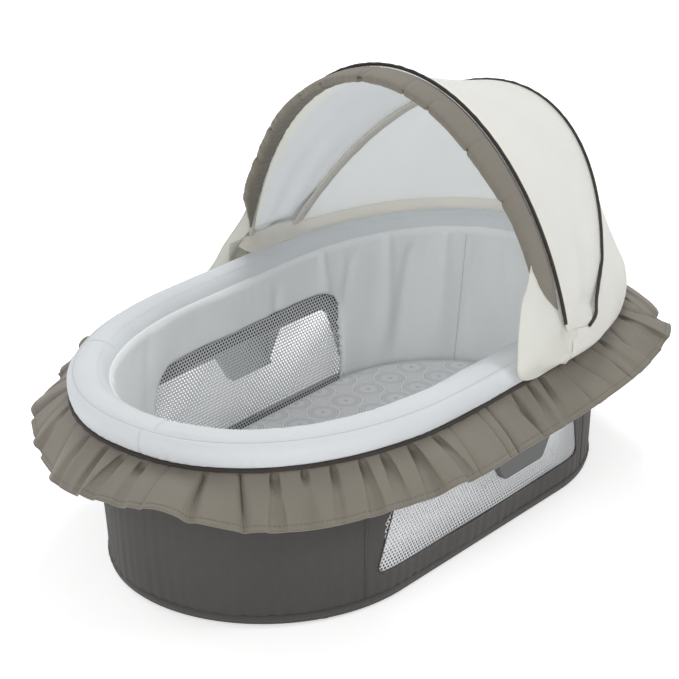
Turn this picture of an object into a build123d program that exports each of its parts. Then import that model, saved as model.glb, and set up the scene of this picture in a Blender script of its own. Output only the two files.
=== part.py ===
"""Portable bassinet of a travel play yard, with a fold-back canopy.

Millimetres. The floor is z = 0 and the origin is under the middle of the basket.
X runs along the length with the head end at +X, and +Y is the left side.
"""
from build123d import *
from math import asin, cos, degrees, radians, sin
import os

# ---- driving dimensions -------------------------------------------------
SIDES = (("left", 1), ("right", -1))
ENDS = (("head", 1), ("foot", -1))

rim_length = 800.0
rim_width = 465.0
rim_top = 250.0
rim_bottom = 217.0
rim_face = 49.0             # width of the padded rim seen from above
rim_straight = 85.0         # half of the straight run along each side
rim_tube_radius = 9.5
rim_tube_wall = 1.2
rim_tube_z = 232.0

base_length = 714.0
base_width = 380.0
base_straight = 158.0
foot_height = 6.0
foot_radius = 14.0
foot_spot = (248.0, 148.0)  # each foot's distance from the middle in X and Y
cover_inset = 3.0           # step in from the wall's lower outline
board_inset = 5.0
cloth = 2.0                 # thickness of the outer woven fabric
wall_bottom = 5.0
wall_top = 214.0
wall_top_length = 744.0
wall_top_width = 410.0
panel_seam_x = 212.0        # seams between the end panels and the side panels

board = 4.0
ring_radius = 4.0
pad_top = 50.0
pad_thickness = 24.0
pad_length = 670.0
pad_width = 336.0
liner_thickness = 5.0

bow_centre_x = 80.0         # both bows are arcs of ellipses about this line
bow_centre_z = 153.0
front_lean = -2.0           # degrees back from upright
rear_lean = 34.6
front_bow = (251.0, 374.0)  # half width and rise of the wire's ellipse
rear_bow = (244.0, 368.0)
bow_wire = 2.25
pivot_x = 107.0
pivot_z = 240.0
pin_radius = 4.0
running_gap = 0.05
canopy_cut_z = 262.0        # the canopy's skirt begins below this height
border_width = 45.0

os.makedirs("parts", exist_ok=True)


def save(builder, name):
    """Label one finished piece and write it to its own file."""
    builder.part.label = name
    export_step(builder.part, f"parts/{name}.step")


# ---- outlines shared by several pieces ----------------------------------
def oval(height, half_length, half_width, straight):
    """Face with straight sides and half-ellipse ends, level at this height."""
    end_radius = half_length - straight
    with BuildSketch(Plane.XY.offset(height), mode=Mode.PRIVATE) as outline:
        with BuildLine():
            Line((-straight, -half_width), (straight, -half_width))
            EllipticalCenterArc((straight, 0), end_radius, half_width, -90, arc_size=180)
            Line((straight, half_width), (-straight, half_width))
            EllipticalCenterArc((-straight, 0), end_radius, half_width, 90, arc_size=180)
        make_face()
    return outline.sketch


def oval_path(height, half_length, half_width, straight, end, start_x=0.0):
    """U-shaped line round one end (+1 head, -1 foot), from side to side."""
    end_radius = half_length - straight
    plane = Plane((0, 0, height), x_dir=(end, 0, 0), z_dir=(0, 0, end))
    with BuildLine(plane, mode=Mode.PRIVATE) as line:
        Line((start_x, -half_width), (straight, -half_width))
        EllipticalCenterArc((straight, 0), end_radius, half_width, -90, arc_size=180)
        Line((straight, half_width), (start_x, half_width))
    return line.wire()


def between(low_z, low, high_z, high, inset=0.0, mode=Mode.ADD):
    """Sloping oval block between two outlines (half length, half width, straight)."""
    sections = []
    for height, (half_length, half_width, straight) in ((low_z, low), (high_z, high)):
        sections.append(oval(height, half_length - inset, half_width - inset, straight))
    loft(sections=[section.face() for section in sections], ruled=True, mode=mode)


def side_prism(points, corner, side, mode):
    """Block over one side of the basket, cut to an outline in X and Z."""
    with BuildSketch(Plane.XZ, mode=Mode.PRIVATE) as outline:
        with BuildLine():
            FilletPolyline(*points, radius=corner, close=True)
        make_face()
    extrude(outline.sketch, amount=-300 * side, mode=mode)


def section_at(path, shape_radius, bore_radius=0.0):
    """Round section, with or without a bore, at the start of a path."""
    start = Plane(origin=path @ 0, z_dir=path % 0)
    with BuildSketch(start, mode=Mode.PRIVATE) as section:
        Circle(shape_radius)
        if bore_radius:
            Circle(bore_radius, mode=Mode.SUBTRACT)
    return section.sketch


def inset_from(outline, step):
    """The same outline, smaller by a step all round."""
    return (outline[0] - step, outline[1] - step, outline[2])


# half length, half width and half of the straight run of each outline
wall_low = (base_length / 2, base_width / 2, base_straight)
wall_high = (wall_top_length / 2, wall_top_width / 2, rim_straight)
rim_outer = (rim_length / 2, rim_width / 2, rim_straight)
rim_inner = inset_from(rim_outer, rim_face)
rim_middle = inset_from(rim_outer, rim_face / 2)

# ---- underside: feet, base cover, base board, base ring, cross bars ------
foot_spots = [(foot_spot[0] * ex, foot_spot[1] * ey) for ex in (1, -1) for ey in (1, -1)]
with BuildPart() as glide_feet:
    with Locations(*foot_spots):
        Cylinder(foot_radius, foot_height, align=(Align.CENTER, Align.CENTER, Align.MIN))
    bottom_rims = glide_feet.edges().filter_by(GeomType.CIRCLE).group_by(Axis.Z)[0]
    fillet(bottom_rims, 2)
    with Locations(*foot_spots):
        Hole(2.1)
save(glide_feet, "glide_feet")

screw_top = 11.0
with BuildPart() as foot_screws:
    with BuildSketch(Plane.XY.offset(1.0)):
        with Locations(*foot_spots):
            Circle(2.0)
    extrude(amount=screw_top - 1.0)
save(foot_screws, "foot_screws")

cover_cloth = 1.5
cover_top = foot_height + cover_cloth
with BuildPart() as base_cover:
    extrude(oval(foot_height, *inset_from(wall_low, cover_inset)), amount=cover_cloth)
    with Locations(*foot_spots):
        Hole(2.1)
save(base_cover, "base_cover")

board_top = cover_top + board
with BuildPart() as base_board:
    extrude(oval(cover_top, *inset_from(wall_low, board_inset)), amount=board)
    with Locations(*foot_spots):
        Hole(2.1)
save(base_board, "base_board")

ring_z = board_top + ring_radius
ring_line = inset_from(wall_low, board_inset + 2)
with BuildPart() as base_ring:
    for _, end in ENDS:
        ring_half = oval_path(ring_z, *ring_line, end)
        sweep(section_at(ring_half, ring_radius), path=ring_half)
save(base_ring, "base_ring")

bar_reach = ring_line[1] - ring_radius - 0.1
for bar_name, bar_x in (("foot", -120), ("middle", 0), ("head", 120)):
    with BuildPart() as cross_bar:
        with BuildSketch(Plane((bar_x, -bar_reach, ring_z), z_dir=(0, 1, 0))):
            Circle(ring_radius)
            Circle(ring_radius - 1, mode=Mode.SUBTRACT)
        extrude(amount=2 * bar_reach)
    save(cross_bar, f"cross_bar_{bar_name}")

# ---- uprights between the base ring and the rim tube ---------------------
upright_radius = 2.8


def ellipse_y(x, half_length, half_width, straight):
    """Half width of an outline at a distance x along the basket."""
    reach = max(0.0, abs(x) - straight) / (half_length - straight)
    return half_width * (1 - reach**2) ** 0.5


upright_x = 236.0
upright_step = rim_tube_radius + upright_radius + 0.6
upright_line = (rim_middle[0] - upright_step, rim_middle[1] - upright_step, rim_straight)
upright_spots = []
for end_name, end in ENDS:
    upright_spots.append((end_name, end * ring_line[0], 0, end * upright_line[0], 0))
for side_name, side in SIDES:
    for end_name, end in ENDS:
        low_y = side * ellipse_y(upright_x, *ring_line)
        high_y = side * ellipse_y(upright_x, *upright_line)
        spot = (f"{end_name}_{side_name}", end * upright_x, low_y, end * upright_x, high_y)
        upright_spots.append(spot)
for upright_name, low_x, low_y, high_x, high_y in upright_spots:
    low = Vector(low_x, low_y, ring_z + ring_radius + 0.1)
    high = Vector(high_x, high_y, rim_tube_z + 4)
    with BuildPart() as upright:
        with BuildSketch(Plane(low, z_dir=high - low)):
            Circle(upright_radius)
        extrude(amount=(high - low).length)
    save(upright, f"upright_{upright_name}")

# ---- outer wall: end panels, side panels and mesh windows ----------------
outer_window = [(-199, 41), (199, 41), (170, 142), (-170, 142)]
window_corner = 10.0
far_beyond = 900.0


def end_box(end, near_x, mode):
    """Everything past a seam plane at one end of the basket."""
    with Locations((end * (near_x + far_beyond / 2), 0, 0)):
        Box(far_beyond, far_beyond, far_beyond, mode=mode)


for end_name, end in ENDS:
    with BuildPart() as end_panel:
        between(wall_bottom, wall_low, wall_top, wall_high)
        between(wall_bottom, wall_low, wall_top, wall_high, inset=cloth, mode=Mode.SUBTRACT)
        end_box(end, panel_seam_x, Mode.INTERSECT)
    save(end_panel, f"{end_name}_panel")

for side_name, side in SIDES:
    with BuildPart() as side_panel:
        between(wall_bottom, wall_low, wall_top, wall_high)
        between(wall_bottom, wall_low, wall_top, wall_high, inset=cloth, mode=Mode.SUBTRACT)
        for _, end in ENDS:
            end_box(end, panel_seam_x, Mode.SUBTRACT)
        with Locations((0, -side * far_beyond / 2, 0)):
            Box(far_beyond, far_beyond, far_beyond, mode=Mode.SUBTRACT)
        side_prism(outer_window, window_corner, side, Mode.SUBTRACT)
    save(side_panel, f"side_panel_{side_name}")
    with BuildPart() as outer_mesh:
        between(wall_bottom, wall_low, wall_top, wall_high, inset=0.5)
        between(wall_bottom, wall_low, wall_top, wall_high, inset=cloth - 0.5, mode=Mode.SUBTRACT)
        side_prism(outer_window, window_corner, side, Mode.INTERSECT)
    save(outer_mesh, f"outer_mesh_{side_name}")

hem_bottom = 9.0
hem_height = 6.0
with BuildPart() as hem_binding:
    extrude(oval(hem_bottom, *inset_from(wall_low, -2.2)), amount=hem_height)
    extrude(oval(hem_bottom, *inset_from(wall_low, -1.0)), amount=hem_height, mode=Mode.SUBTRACT)
save(hem_binding, "hem_binding")

# ---- padded liner, its mesh windows, and the mattress --------------------
floor_z = ring_z + ring_radius + 0.3
floor_cloth = 1.5
liner_bottom = floor_z + floor_cloth
liner_low = (346.0, 177.0, base_straight)
liner_high = (rim_inner[0] + 4, rim_inner[1] + 4, rim_straight)
inner_window = [(-175, 44), (175, 44), (175, 176), (-175, 176)]
inner_corner = 38.0
with BuildPart() as liner_floor:
    extrude(oval(floor_z, *inset_from(liner_low, 2)), amount=floor_cloth)
save(liner_floor, "liner_floor")

liner_top = rim_bottom - 0.5
with BuildPart() as liner:
    between(liner_bottom, liner_low, liner_top, liner_high)
    between(liner_bottom, liner_low, liner_top, liner_high, liner_thickness, Mode.SUBTRACT)
    for _, side in SIDES:
        side_prism(inner_window, inner_corner, side, Mode.SUBTRACT)
save(liner, "liner")

for side_name, side in SIDES:
    with BuildPart() as inner_mesh:
        between(liner_bottom, liner_low, liner_top, liner_high, inset=2)
        between(liner_bottom, liner_low, liner_top, liner_high, inset=3, mode=Mode.SUBTRACT)
        side_prism(inner_window, inner_corner, side, Mode.INTERSECT)
    save(inner_mesh, f"inner_mesh_{side_name}")

pad_bottom = pad_top - pad_thickness
pad_outline = (pad_length / 2, pad_width / 2, base_straight)
with BuildPart() as mattress_pad:
    extrude(oval(pad_bottom, *pad_outline), amount=pad_thickness)
    fillet(mattress_pad.edges().group_by(Axis.Z)[-1], 8)
save(mattress_pad, "mattress_pad")

with BuildPart() as mattress_board:
    board_low = liner_bottom + 0.1
    extrude(oval(board_low, *inset_from(pad_outline, 5)), amount=pad_bottom - board_low - 0.1)
save(mattress_board, "mattress_board")

# ---- rim: two U-shaped tubes, joiners, padding, binding, ruffle ----------
for end_name, end in ENDS:
    with BuildPart() as rim_tube:
        tube_line = oval_path(rim_tube_z, *rim_middle, end, start_x=0.2)
        sweep(section_at(tube_line, rim_tube_radius, rim_tube_radius - rim_tube_wall), path=tube_line)
    save(rim_tube, f"rim_tube_{end_name}")

joiner_length = 70.0
for side_name, side in SIDES:
    with BuildPart() as rim_joiner:
        joiner_start = (-joiner_length / 2, side * rim_middle[1], rim_tube_z)
        with BuildSketch(Plane(joiner_start, z_dir=(1, 0, 0))):
            Circle(rim_tube_radius - rim_tube_wall - 0.1)
        extrude(amount=joiner_length)
    save(rim_joiner, f"rim_joiner_{side_name}")

cavity = (13.0, 16.5)       # reach of the hollow outside and inside the tube line
mount_x = (pivot_x - 17, pivot_x + 17)
roll_seam_x = 125.0         # the padded roll is joined here, and in the middle of each end
with BuildPart() as rim_roll:
    extrude(oval(rim_bottom, *rim_outer), amount=rim_top - rim_bottom)
    extrude(oval(rim_bottom, *rim_inner), amount=rim_top - rim_bottom, mode=Mode.SUBTRACT)
    fillet(rim_roll.edges().group_by(Axis.Z)[-1], 13)
    with BuildSketch(Plane.XY.offset(rim_bottom)):
        add(oval(0, *inset_from(rim_middle, -cavity[0])))
        add(oval(0, *inset_from(rim_middle, cavity[1])), mode=Mode.SUBTRACT)
    extrude(amount=rim_tube_z + rim_tube_radius + 1 - rim_bottom, mode=Mode.SUBTRACT)
    for _, side in SIDES:
        with Locations((sum(mount_x) / 2, side * rim_width / 2, pivot_z - 4)):
            Box(mount_x[1] - mount_x[0] - 4, 50, 20, mode=Mode.SUBTRACT)

for side_name, side in SIDES:
    lengths = [(side_name, -roll_seam_x, roll_seam_x)]
    for end_name, end in ENDS:
        reach = sorted((end * roll_seam_x, end * far_beyond))
        lengths.append((f"{end_name}_{side_name}", *reach))
    for length_name, from_x, to_x in lengths:
        with BuildPart() as rim_padding:
            add(rim_roll.part)
            with Locations(((from_x + to_x) / 2, side * far_beyond / 2, rim_top)):
                Box(to_x - from_x, far_beyond, far_beyond, mode=Mode.INTERSECT)
        save(rim_padding, f"rim_padding_{length_name}")

binding_height = 4.6
binding_bottom = rim_bottom - 0.2 - binding_height
with BuildPart() as rim_binding:
    extrude(oval(binding_bottom, *inset_from(rim_outer, 1)), amount=binding_height)
    extrude(oval(binding_bottom, *inset_from(rim_outer, 10)), amount=binding_height, mode=Mode.SUBTRACT)
save(rim_binding, "rim_binding")

ruffle_top = binding_bottom - 0.2
ruffle_hem_z = 184.0
with BuildPart() as ruffle:
    ruffle_root = inset_from(rim_outer, 2)
    ruffle_hem = (rim_outer[0] + 57, rim_outer[1] + 57, rim_straight)
    between(ruffle_hem_z, ruffle_hem, ruffle_top, ruffle_root)
    between(ruffle_hem_z, ruffle_hem, ruffle_top, ruffle_root, inset=4, mode=Mode.SUBTRACT)
save(ruffle, "ruffle")

# ---- docking brackets and their screws -----------------------------------
bracket_x = 40.0
bracket_face = 218.0
bracket_back = 209.0
bracket_top = rim_tube_z - rim_tube_radius - 0.2
bracket_outline = [(-66, bracket_top), (66, bracket_top), (66, 135), (38, 90), (-38, 90), (-66, 135)]
for side_name, side in SIDES:
    back_plane = Plane((bracket_x, side * bracket_back, 0), x_dir=(1, 0, 0), z_dir=(0, side, 0))
    with BuildPart() as dock_bracket:
        with BuildSketch(back_plane) as bracket_shape:
            with BuildLine():
                FilletPolyline(*[(x, -side * z) for x, z in bracket_outline], radius=12, close=True)
            make_face()
        extrude(amount=bracket_face - bracket_back)
        fillet(dock_bracket.faces().sort_by(Axis.Y)[-1 if side > 0 else 0].edges(), 2)
        with BuildSketch(back_plane):
            offset(bracket_shape.sketch, amount=-3)
        extrude(amount=bracket_face - bracket_back - 3, mode=Mode.SUBTRACT)
        for rib_x in (-33, 0, 33):
            with Locations((bracket_x + rib_x, side * (bracket_back + 3.5), 160)):
                Box(2.5, 7, 122)
        for screw_x in (-45, 45):
            with Locations((bracket_x + screw_x, side * (bracket_face - 4.5), bracket_top - 5)):
                Box(14, 9, 10)
        with Locations(*[(bracket_x + x, side * (bracket_face - 4.5), bracket_top) for x in (-45, 45)]):
            Hole(1.8, depth=20)
    save(dock_bracket, f"dock_bracket_{side_name}")

with BuildPart() as bracket_screws:
    for _, side in SIDES:
        spots = [(bracket_x + x, side * (bracket_face - 4.5)) for x in (-45, 45)]
        with BuildSketch(Plane.XY.offset(bracket_top - 9)):
            with Locations(*spots):
                Circle(1.75)
        extrude(amount=8.9)
save(bracket_screws, "bracket_screws")

# ---- canopy mounts, pivot pins, mount screws ------------------------------
plate_y = (rim_width / 2 + 0.6, rim_width / 2 + 3.1)
rear_link_y = (plate_y[1] + 0.5, plate_y[1] + 2.5)
spacer_y = (rear_link_y[1] + 0.3, rear_link_y[1] + 2.9)
front_link_y = (spacer_y[1] + 0.3, spacer_y[1] + 2.3)
pin_head_y = (front_link_y[1] + 0.4, front_link_y[1] + 2.4)
tube_y = rim_middle[1]
screw_offsets = (-12.0, 12.0)


def disc(x, z, y_span, radius, side, mode=Mode.ADD):
    """Round plate across the canopy's pivot line, between two distances from the middle."""
    with BuildSketch(Plane((x, side * y_span[0], z), z_dir=(0, side, 0)), mode=Mode.PRIVATE) as face:
        Circle(radius)
    extrude(face.sketch, amount=y_span[1] - y_span[0], mode=mode)


for side_name, side in SIDES:
    with BuildPart() as canopy_mount:
        arm_y = (tube_y + 4, plate_y[0])
        with Locations((pivot_x, side * sum(plate_y) / 2, pivot_z - 4)):
            Box(mount_x[1] - mount_x[0], plate_y[1] - plate_y[0], 26)
        fillet(canopy_mount.edges().filter_by(Axis.Y), 5)
        with Locations((pivot_x, side * sum(arm_y) / 2, pivot_z - 4)):
            Box(24, arm_y[1] - arm_y[0], 12)
        with BuildSketch(Plane((pivot_x - 20, side * tube_y, rim_tube_z), z_dir=(1, 0, 0))):
            Circle(rim_tube_radius + running_gap)
        extrude(amount=40, mode=Mode.SUBTRACT)
        disc(pivot_x, pivot_z, (tube_y, plate_y[1]), pin_radius, side, Mode.SUBTRACT)
        for offset_x in screw_offsets:
            disc(pivot_x + offset_x, pivot_z - 11, (tube_y, plate_y[1]), 1.6, side, Mode.SUBTRACT)
    save(canopy_mount, f"canopy_mount_{side_name}")
    with BuildPart() as pivot_pin:
        disc(pivot_x, pivot_z, (tube_y + rim_tube_radius + 2, pin_head_y[0]), pin_radius, side)
        disc(pivot_x, pivot_z, pin_head_y, pin_radius + 2.5, side)
    save(pivot_pin, f"pivot_pin_{side_name}")
    with BuildPart() as pin_spacer:
        disc(pivot_x, pivot_z, spacer_y, pin_radius + 4, side)
        disc(pivot_x, pivot_z, spacer_y, pin_radius + running_gap, side, Mode.SUBTRACT)
    save(pin_spacer, f"pin_spacer_{side_name}")

with BuildPart() as mount_screws:
    for _, side in SIDES:
        for offset_x in screw_offsets:
            disc(pivot_x + offset_x, pivot_z - 11, (plate_y[0] - 6, plate_y[1]), 1.5, side)
save(mount_screws, "mount_screws")


# ---- canopy bows and their end links --------------------------------------
def bow_plane(lean):
    """Plane of a bow: local X is the basket's +Y, local Y rises along the bow."""
    rise = (sin(radians(lean)), cos(radians(lean)))
    return Plane((bow_centre_x, 0, bow_centre_z), x_dir=(0, 1, 0), z_dir=(rise[1], 0, -rise[0]))


def end_angle(lean, rise, height):
    """Ellipse angle at which a bow's line crosses a height above the floor."""
    return degrees(asin((height - bow_centre_z) / cos(radians(lean)) / rise))


def bow_path(lean, bow, height, grow=0.0):
    """Line of a bow, from side to side, cut off at a height."""
    start = end_angle(lean, bow[1] + grow, height)
    with BuildLine(bow_plane(lean), mode=Mode.PRIVATE) as line:
        EllipticalCenterArc((0, 0), bow[0] + grow, bow[1] + grow, start, arc_size=180 - 2 * start)
    return line.wire()


def bow_band(lean, bow, inner, outer, height, ahead=0.0):
    """Arched strip in or ahead of a bow's plane, between two offsets from its wire."""
    grown = [(bow[0] + step, bow[1] + step) for step in (outer, inner)]
    angles = [end_angle(lean, rise, height) for _, rise in grown]
    with BuildSketch(bow_plane(lean).offset(-ahead), mode=Mode.PRIVATE) as strip:
        with BuildLine():
            over = EllipticalCenterArc((0, 0), *grown[0], angles[0], arc_size=180 - 2 * angles[0])
            under = EllipticalCenterArc((0, 0), *grown[1], angles[1], arc_size=180 - 2 * angles[1])
            Line(over @ 0, under @ 0)
            Line(over @ 1, under @ 1)
        make_face()
    return strip.sketch


bows = (
    ("front", front_lean, front_bow, front_link_y),
    ("rear", rear_lean, rear_bow, rear_link_y),
)
ferrule_radius = 3.4
for bow_name, lean, bow, link_y in bows:
    with BuildPart() as wire_bow:
        wire_line = bow_path(lean, bow, pivot_z)
        sweep(section_at(wire_line, bow_wire), path=wire_line)
    save(wire_bow, f"{bow_name}_bow")
    for side_name, side in SIDES:
        wire_end = wire_line @ (1 if side < 0 else 0)
        wire_way = (wire_line % (1 if side < 0 else 0)) * side
        with BuildPart() as bow_link:
            with BuildSketch(Plane((0, side * link_y[0], 0), x_dir=(1, 0, 0), z_dir=(0, side, 0))):
                with Locations((pivot_x, -side * pivot_z)):
                    Circle(10)
                with Locations((wire_end.X, -side * wire_end.Z)):
                    Circle(5)
                make_hull()
            extrude(amount=link_y[1] - link_y[0])
            with BuildSketch(Plane(wire_end - wire_way * 5, z_dir=wire_way)):
                Circle(ferrule_radius)
            extrude(amount=16)
            with BuildSketch(Plane(wire_end, z_dir=wire_way)):
                Circle(bow_wire + 0.15)
            extrude(amount=30, mode=Mode.SUBTRACT)
            pin_hole_y = (link_y[0] - 9, link_y[1] + 9)
            disc(pivot_x, pivot_z, pin_hole_y, pin_radius + running_gap, side, Mode.SUBTRACT)
        save(bow_link, f"{bow_name}_bow_link_{side_name}")

# ---- canopy fabric ---------------------------------------------------------
fabric = (3.6, 5.1)         # inner and outer offset of the fabric from a bow's wire
piping_radius = 2.2
for bow_name, lean, bow, _ in bows:
    with BuildPart() as piping:
        piping_line = bow_path(lean, bow, canopy_cut_z + 3, grow=fabric[1] + piping_radius + 0.3)
        sweep(section_at(piping_line, piping_radius), path=piping_line)
    save(piping, f"{bow_name}_piping")

with BuildPart() as rear_bow_sleeve:
    sleeve_line = bow_path(rear_lean, rear_bow, canopy_cut_z + 4)
    sweep(section_at(sleeve_line, 3.4, bow_wire + 0.1), path=sleeve_line)
save(rear_bow_sleeve, "rear_bow_sleeve")

with BuildPart() as canopy_top:
    top_bands = [bow_band(lean, bow, *fabric, canopy_cut_z) for _, lean, bow, _ in bows]
    loft(sections=[band.face() for band in top_bands], ruled=True)
save(canopy_top, "canopy_top")

border_offset = (3.7, 8.2)
with BuildPart() as front_border:
    border_band = bow_band(front_lean, front_bow, *border_offset, canopy_cut_z, piping_radius + 0.4)
    extrude(border_band, amount=-border_width)
save(front_border, "front_border")

skirt_start = 70.0
skirt_levels = (
    (rim_bottom + 0.8, rim_outer[0] + 2.5, rim_outer[1] + 4.5),
    (rim_bottom + 14, rim_outer[0] + 6, rim_outer[1] + 19),
    (canopy_cut_z - 0.4, rim_outer[0] + 7, rim_outer[1] + 21),
)


def u_band(height, half_length, half_width, thickness, start_x):
    """Level strip round the head end, open towards the foot."""
    with BuildSketch(Plane.XY.offset(height), mode=Mode.PRIVATE) as strip:
        add(oval(0, half_length, half_width, rim_straight))
        inner_size = (half_length - thickness, half_width - thickness)
        add(oval(0, *inner_size, rim_straight), mode=Mode.SUBTRACT)
        with Locations((start_x - far_beyond / 2, 0)):
            Rectangle(far_beyond, far_beyond, mode=Mode.SUBTRACT)
    return strip.sketch


with BuildPart() as canopy_skirt:
    skirt_bands = [u_band(*level, 1.6, skirt_start).face() for level in skirt_levels]
    loft(sections=skirt_bands[:2], ruled=True)
    loft(sections=skirt_bands[1:], ruled=True)
save(canopy_skirt, "canopy_skirt")

back_start_x = 168.0
back_reach = rim_outer[0] + 7 - back_start_x
back_width = 246.0
with BuildPart() as canopy_back:
    back_band = bow_band(rear_lean + 1.2, rear_bow, *fabric, canopy_cut_z)
    with BuildSketch(Plane.XY.offset(canopy_cut_z + 0.2), mode=Mode.PRIVATE) as back_foot:
        with BuildLine():
            over = EllipticalCenterArc((back_start_x, 0), back_reach, back_width, -90, arc_size=180)
            under = EllipticalCenterArc(
                (back_start_x, 0), back_reach - 1.6, back_width - 1.6, -90, arc_size=180
            )
            Line(over @ 0, under @ 0)
            Line(over @ 1, under @ 1)
        make_face()
    loft(sections=[back_band.face(), back_foot.sketch.face()], ruled=True)
save(canopy_back, "canopy_back")

flap_offset = (-4.2, -2.4)
flap_edge = [(7, 368), (-4, 332), (-11, 288), (-12, 258), (2, 230), (22, 214)]
for side_name, side in SIDES:
    with BuildPart() as side_flap:
        extrude(bow_band(0, front_bow, *flap_offset, 205), amount=-110)
        with BuildSketch(Plane.XZ, mode=Mode.PRIVATE) as flap_shape:
            with BuildLine():
                front_edge = Spline(*flap_edge)
                Polyline(front_edge @ 1, (42, 213), (66, 219), (66, 300), (60, 368), front_edge @ 0)
            make_face()
        extrude(flap_shape.sketch, amount=-400 * side, mode=Mode.INTERSECT)
    save(side_flap, f"side_flap_{side_name}")
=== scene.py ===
"""Looks of a travel play yard's portable bassinet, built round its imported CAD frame.

Shapes are worked out in millimetres in the CAD frame (head end at +X, left side at +Y,
floor at z = 0) and written to meshes in metres.
"""
import math

import bpy
import numpy as np
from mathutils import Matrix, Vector


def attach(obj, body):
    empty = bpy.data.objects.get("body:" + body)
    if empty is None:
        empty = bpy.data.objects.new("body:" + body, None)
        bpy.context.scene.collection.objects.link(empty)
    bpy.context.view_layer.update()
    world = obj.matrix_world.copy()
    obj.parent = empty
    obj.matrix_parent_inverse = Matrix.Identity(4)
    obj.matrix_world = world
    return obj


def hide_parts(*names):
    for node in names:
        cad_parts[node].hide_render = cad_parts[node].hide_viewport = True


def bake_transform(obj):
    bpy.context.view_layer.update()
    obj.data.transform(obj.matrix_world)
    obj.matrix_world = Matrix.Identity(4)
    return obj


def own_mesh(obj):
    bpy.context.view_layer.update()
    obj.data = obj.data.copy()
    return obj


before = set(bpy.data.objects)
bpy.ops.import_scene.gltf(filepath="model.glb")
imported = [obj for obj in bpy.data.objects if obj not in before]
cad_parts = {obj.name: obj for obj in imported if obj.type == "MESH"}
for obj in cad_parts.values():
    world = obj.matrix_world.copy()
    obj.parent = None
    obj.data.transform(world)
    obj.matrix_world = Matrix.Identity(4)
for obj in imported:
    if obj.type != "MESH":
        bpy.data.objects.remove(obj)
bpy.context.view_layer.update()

MM = 0.001
SIDES = (("left", 1), ("right", -1))

# ---- driving sizes, in millimetres, as in the CAD ---------------------------
# an oval is its half length, half width and half of its straight run
RIM = (400.0, 232.5, 85.0)
WALL_LOW = (357.0, 190.0, 158.0)
WALL_HIGH = (372.0, 205.0, 85.0)
WALL_Z = (5.0, 214.0)
PANEL_SEAM_X = 212.0
LINER_LOW = (341.0, 172.0, 158.0)
LINER_HIGH = (351.0, 183.5, 85.0)
LINER_Z = (22.0, 222.0)
PAD = (335.0, 168.0, 158.0)
ROUND = 2.18                      # power of the rim's superellipse ends
OVAL = 2.0                        # and of the ends of the ovals near the floor
# a bow is its lean in degrees, and the half width and rise of its wire
BOW_CENTRE = (80.0, 153.0)        # X and Z of the line about which both bows are drawn
FRONT = (-2.0, 251.0, 374.0)
REAR = (34.6, 244.0, 368.0)
FABRIC = 5.0                      # canopy fabric's distance outside the wires


# ---- small mathematics --------------------------------------------------------
def smooth(edge0, edge1, value):
    """Smooth step from 0 at edge0 to 1 at edge1."""
    t = np.clip((value - edge0) / (edge1 - edge0), 0.0, 1.0)
    return t * t * (3 - 2 * t)


def bump_at(value, centre, width):
    """Bell of height 1."""
    return np.exp(-(((value - centre) / width) ** 2))


def waves(around, seed, low, high, count=9):
    """Smooth periodic noise of a position around a ring (0 to 1), about -1 to 1."""
    rng = np.random.default_rng(seed)
    total = np.zeros_like(np.asarray(around, float))
    for frequency in rng.integers(low, high + 1, count):
        total += rng.uniform(0.5, 1.0) * np.sin(2 * np.pi * (frequency * around + rng.uniform()))
    return total / (0.75 * count**0.5 * 1.4)


def ripples(a, b, seed, pitch, count=14):
    """Smooth noise over a plane, about -1 to 1; pitch is its range of wavelengths."""
    rng = np.random.default_rng(seed)
    total = np.zeros(np.broadcast(a, b).shape)
    for _ in range(count):
        turn = rng.uniform(0, np.pi)
        wave = 2 * np.pi / rng.uniform(*pitch)
        line = np.cos(turn) * a + np.sin(turn) * b
        total += np.sin(wave * line + rng.uniform(0, 2 * np.pi))
    return total / (0.7 * count**0.5 * 1.6)


def spline(points, count):
    """Catmull-Rom curve through a few points, evenly spaced."""
    p = np.asarray(points, float)
    p = np.vstack([2 * p[0] - p[1], p, 2 * p[-1] - p[-2]])
    t = np.linspace(0, 1, 24, endpoint=False)[:, None]
    runs = []
    for a, b, c, d in zip(p, p[1:], p[2:], p[3:]):
        cubic = 2 * b + (c - a) * t + (2 * a - 5 * b + 4 * c - d) * t**2
        runs.append(0.5 * (cubic + (3 * b - a - 3 * c + d) * t**3))
    return resample(np.vstack(runs + [p[-2][None]]), count)


def running(line):
    """Length run along a line at each of its points."""
    return np.r_[0, np.cumsum(np.linalg.norm(np.diff(line, axis=0), axis=1))]


def length_of(line):
    return float(np.linalg.norm(np.diff(line, axis=0), axis=1).sum())


def resample(line, count, closed=False):
    """The same line with evenly spaced points."""
    if closed:
        line = np.vstack([line, line[:1]])
    steps = running(line)
    want = np.linspace(0, steps[-1], count, endpoint=not closed)
    return np.stack([np.interp(want, steps, line[:, k]) for k in range(line.shape[1])], 1)


def outline(size, count, power=ROUND):
    """Oval seen from above, from the head end anticlockwise: points and outward normals."""
    half_length, half_width, straight = size
    t = np.linspace(0, 2 * np.pi, 16001)[:-1]
    c, s = np.cos(t), np.sin(t)
    x = np.sign(c) * (straight + (half_length - straight) * np.abs(c) ** (2 / power))
    y = half_width * np.sign(s) * np.abs(s) ** (2 / power)
    points = resample(np.stack([x, y], 1), count, closed=True)
    way = np.roll(points, -1, 0) - np.roll(points, 1, 0)
    way /= np.linalg.norm(way, axis=1)[:, None]
    return points, np.stack([way[:, 1], -way[:, 0]], 1)


def nearest(points, x, y):
    """Index of the point nearest to a place, seen from above."""
    return int(np.argmin(np.hypot(points[:, 0] - x, points[:, 1] - y)))


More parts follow.
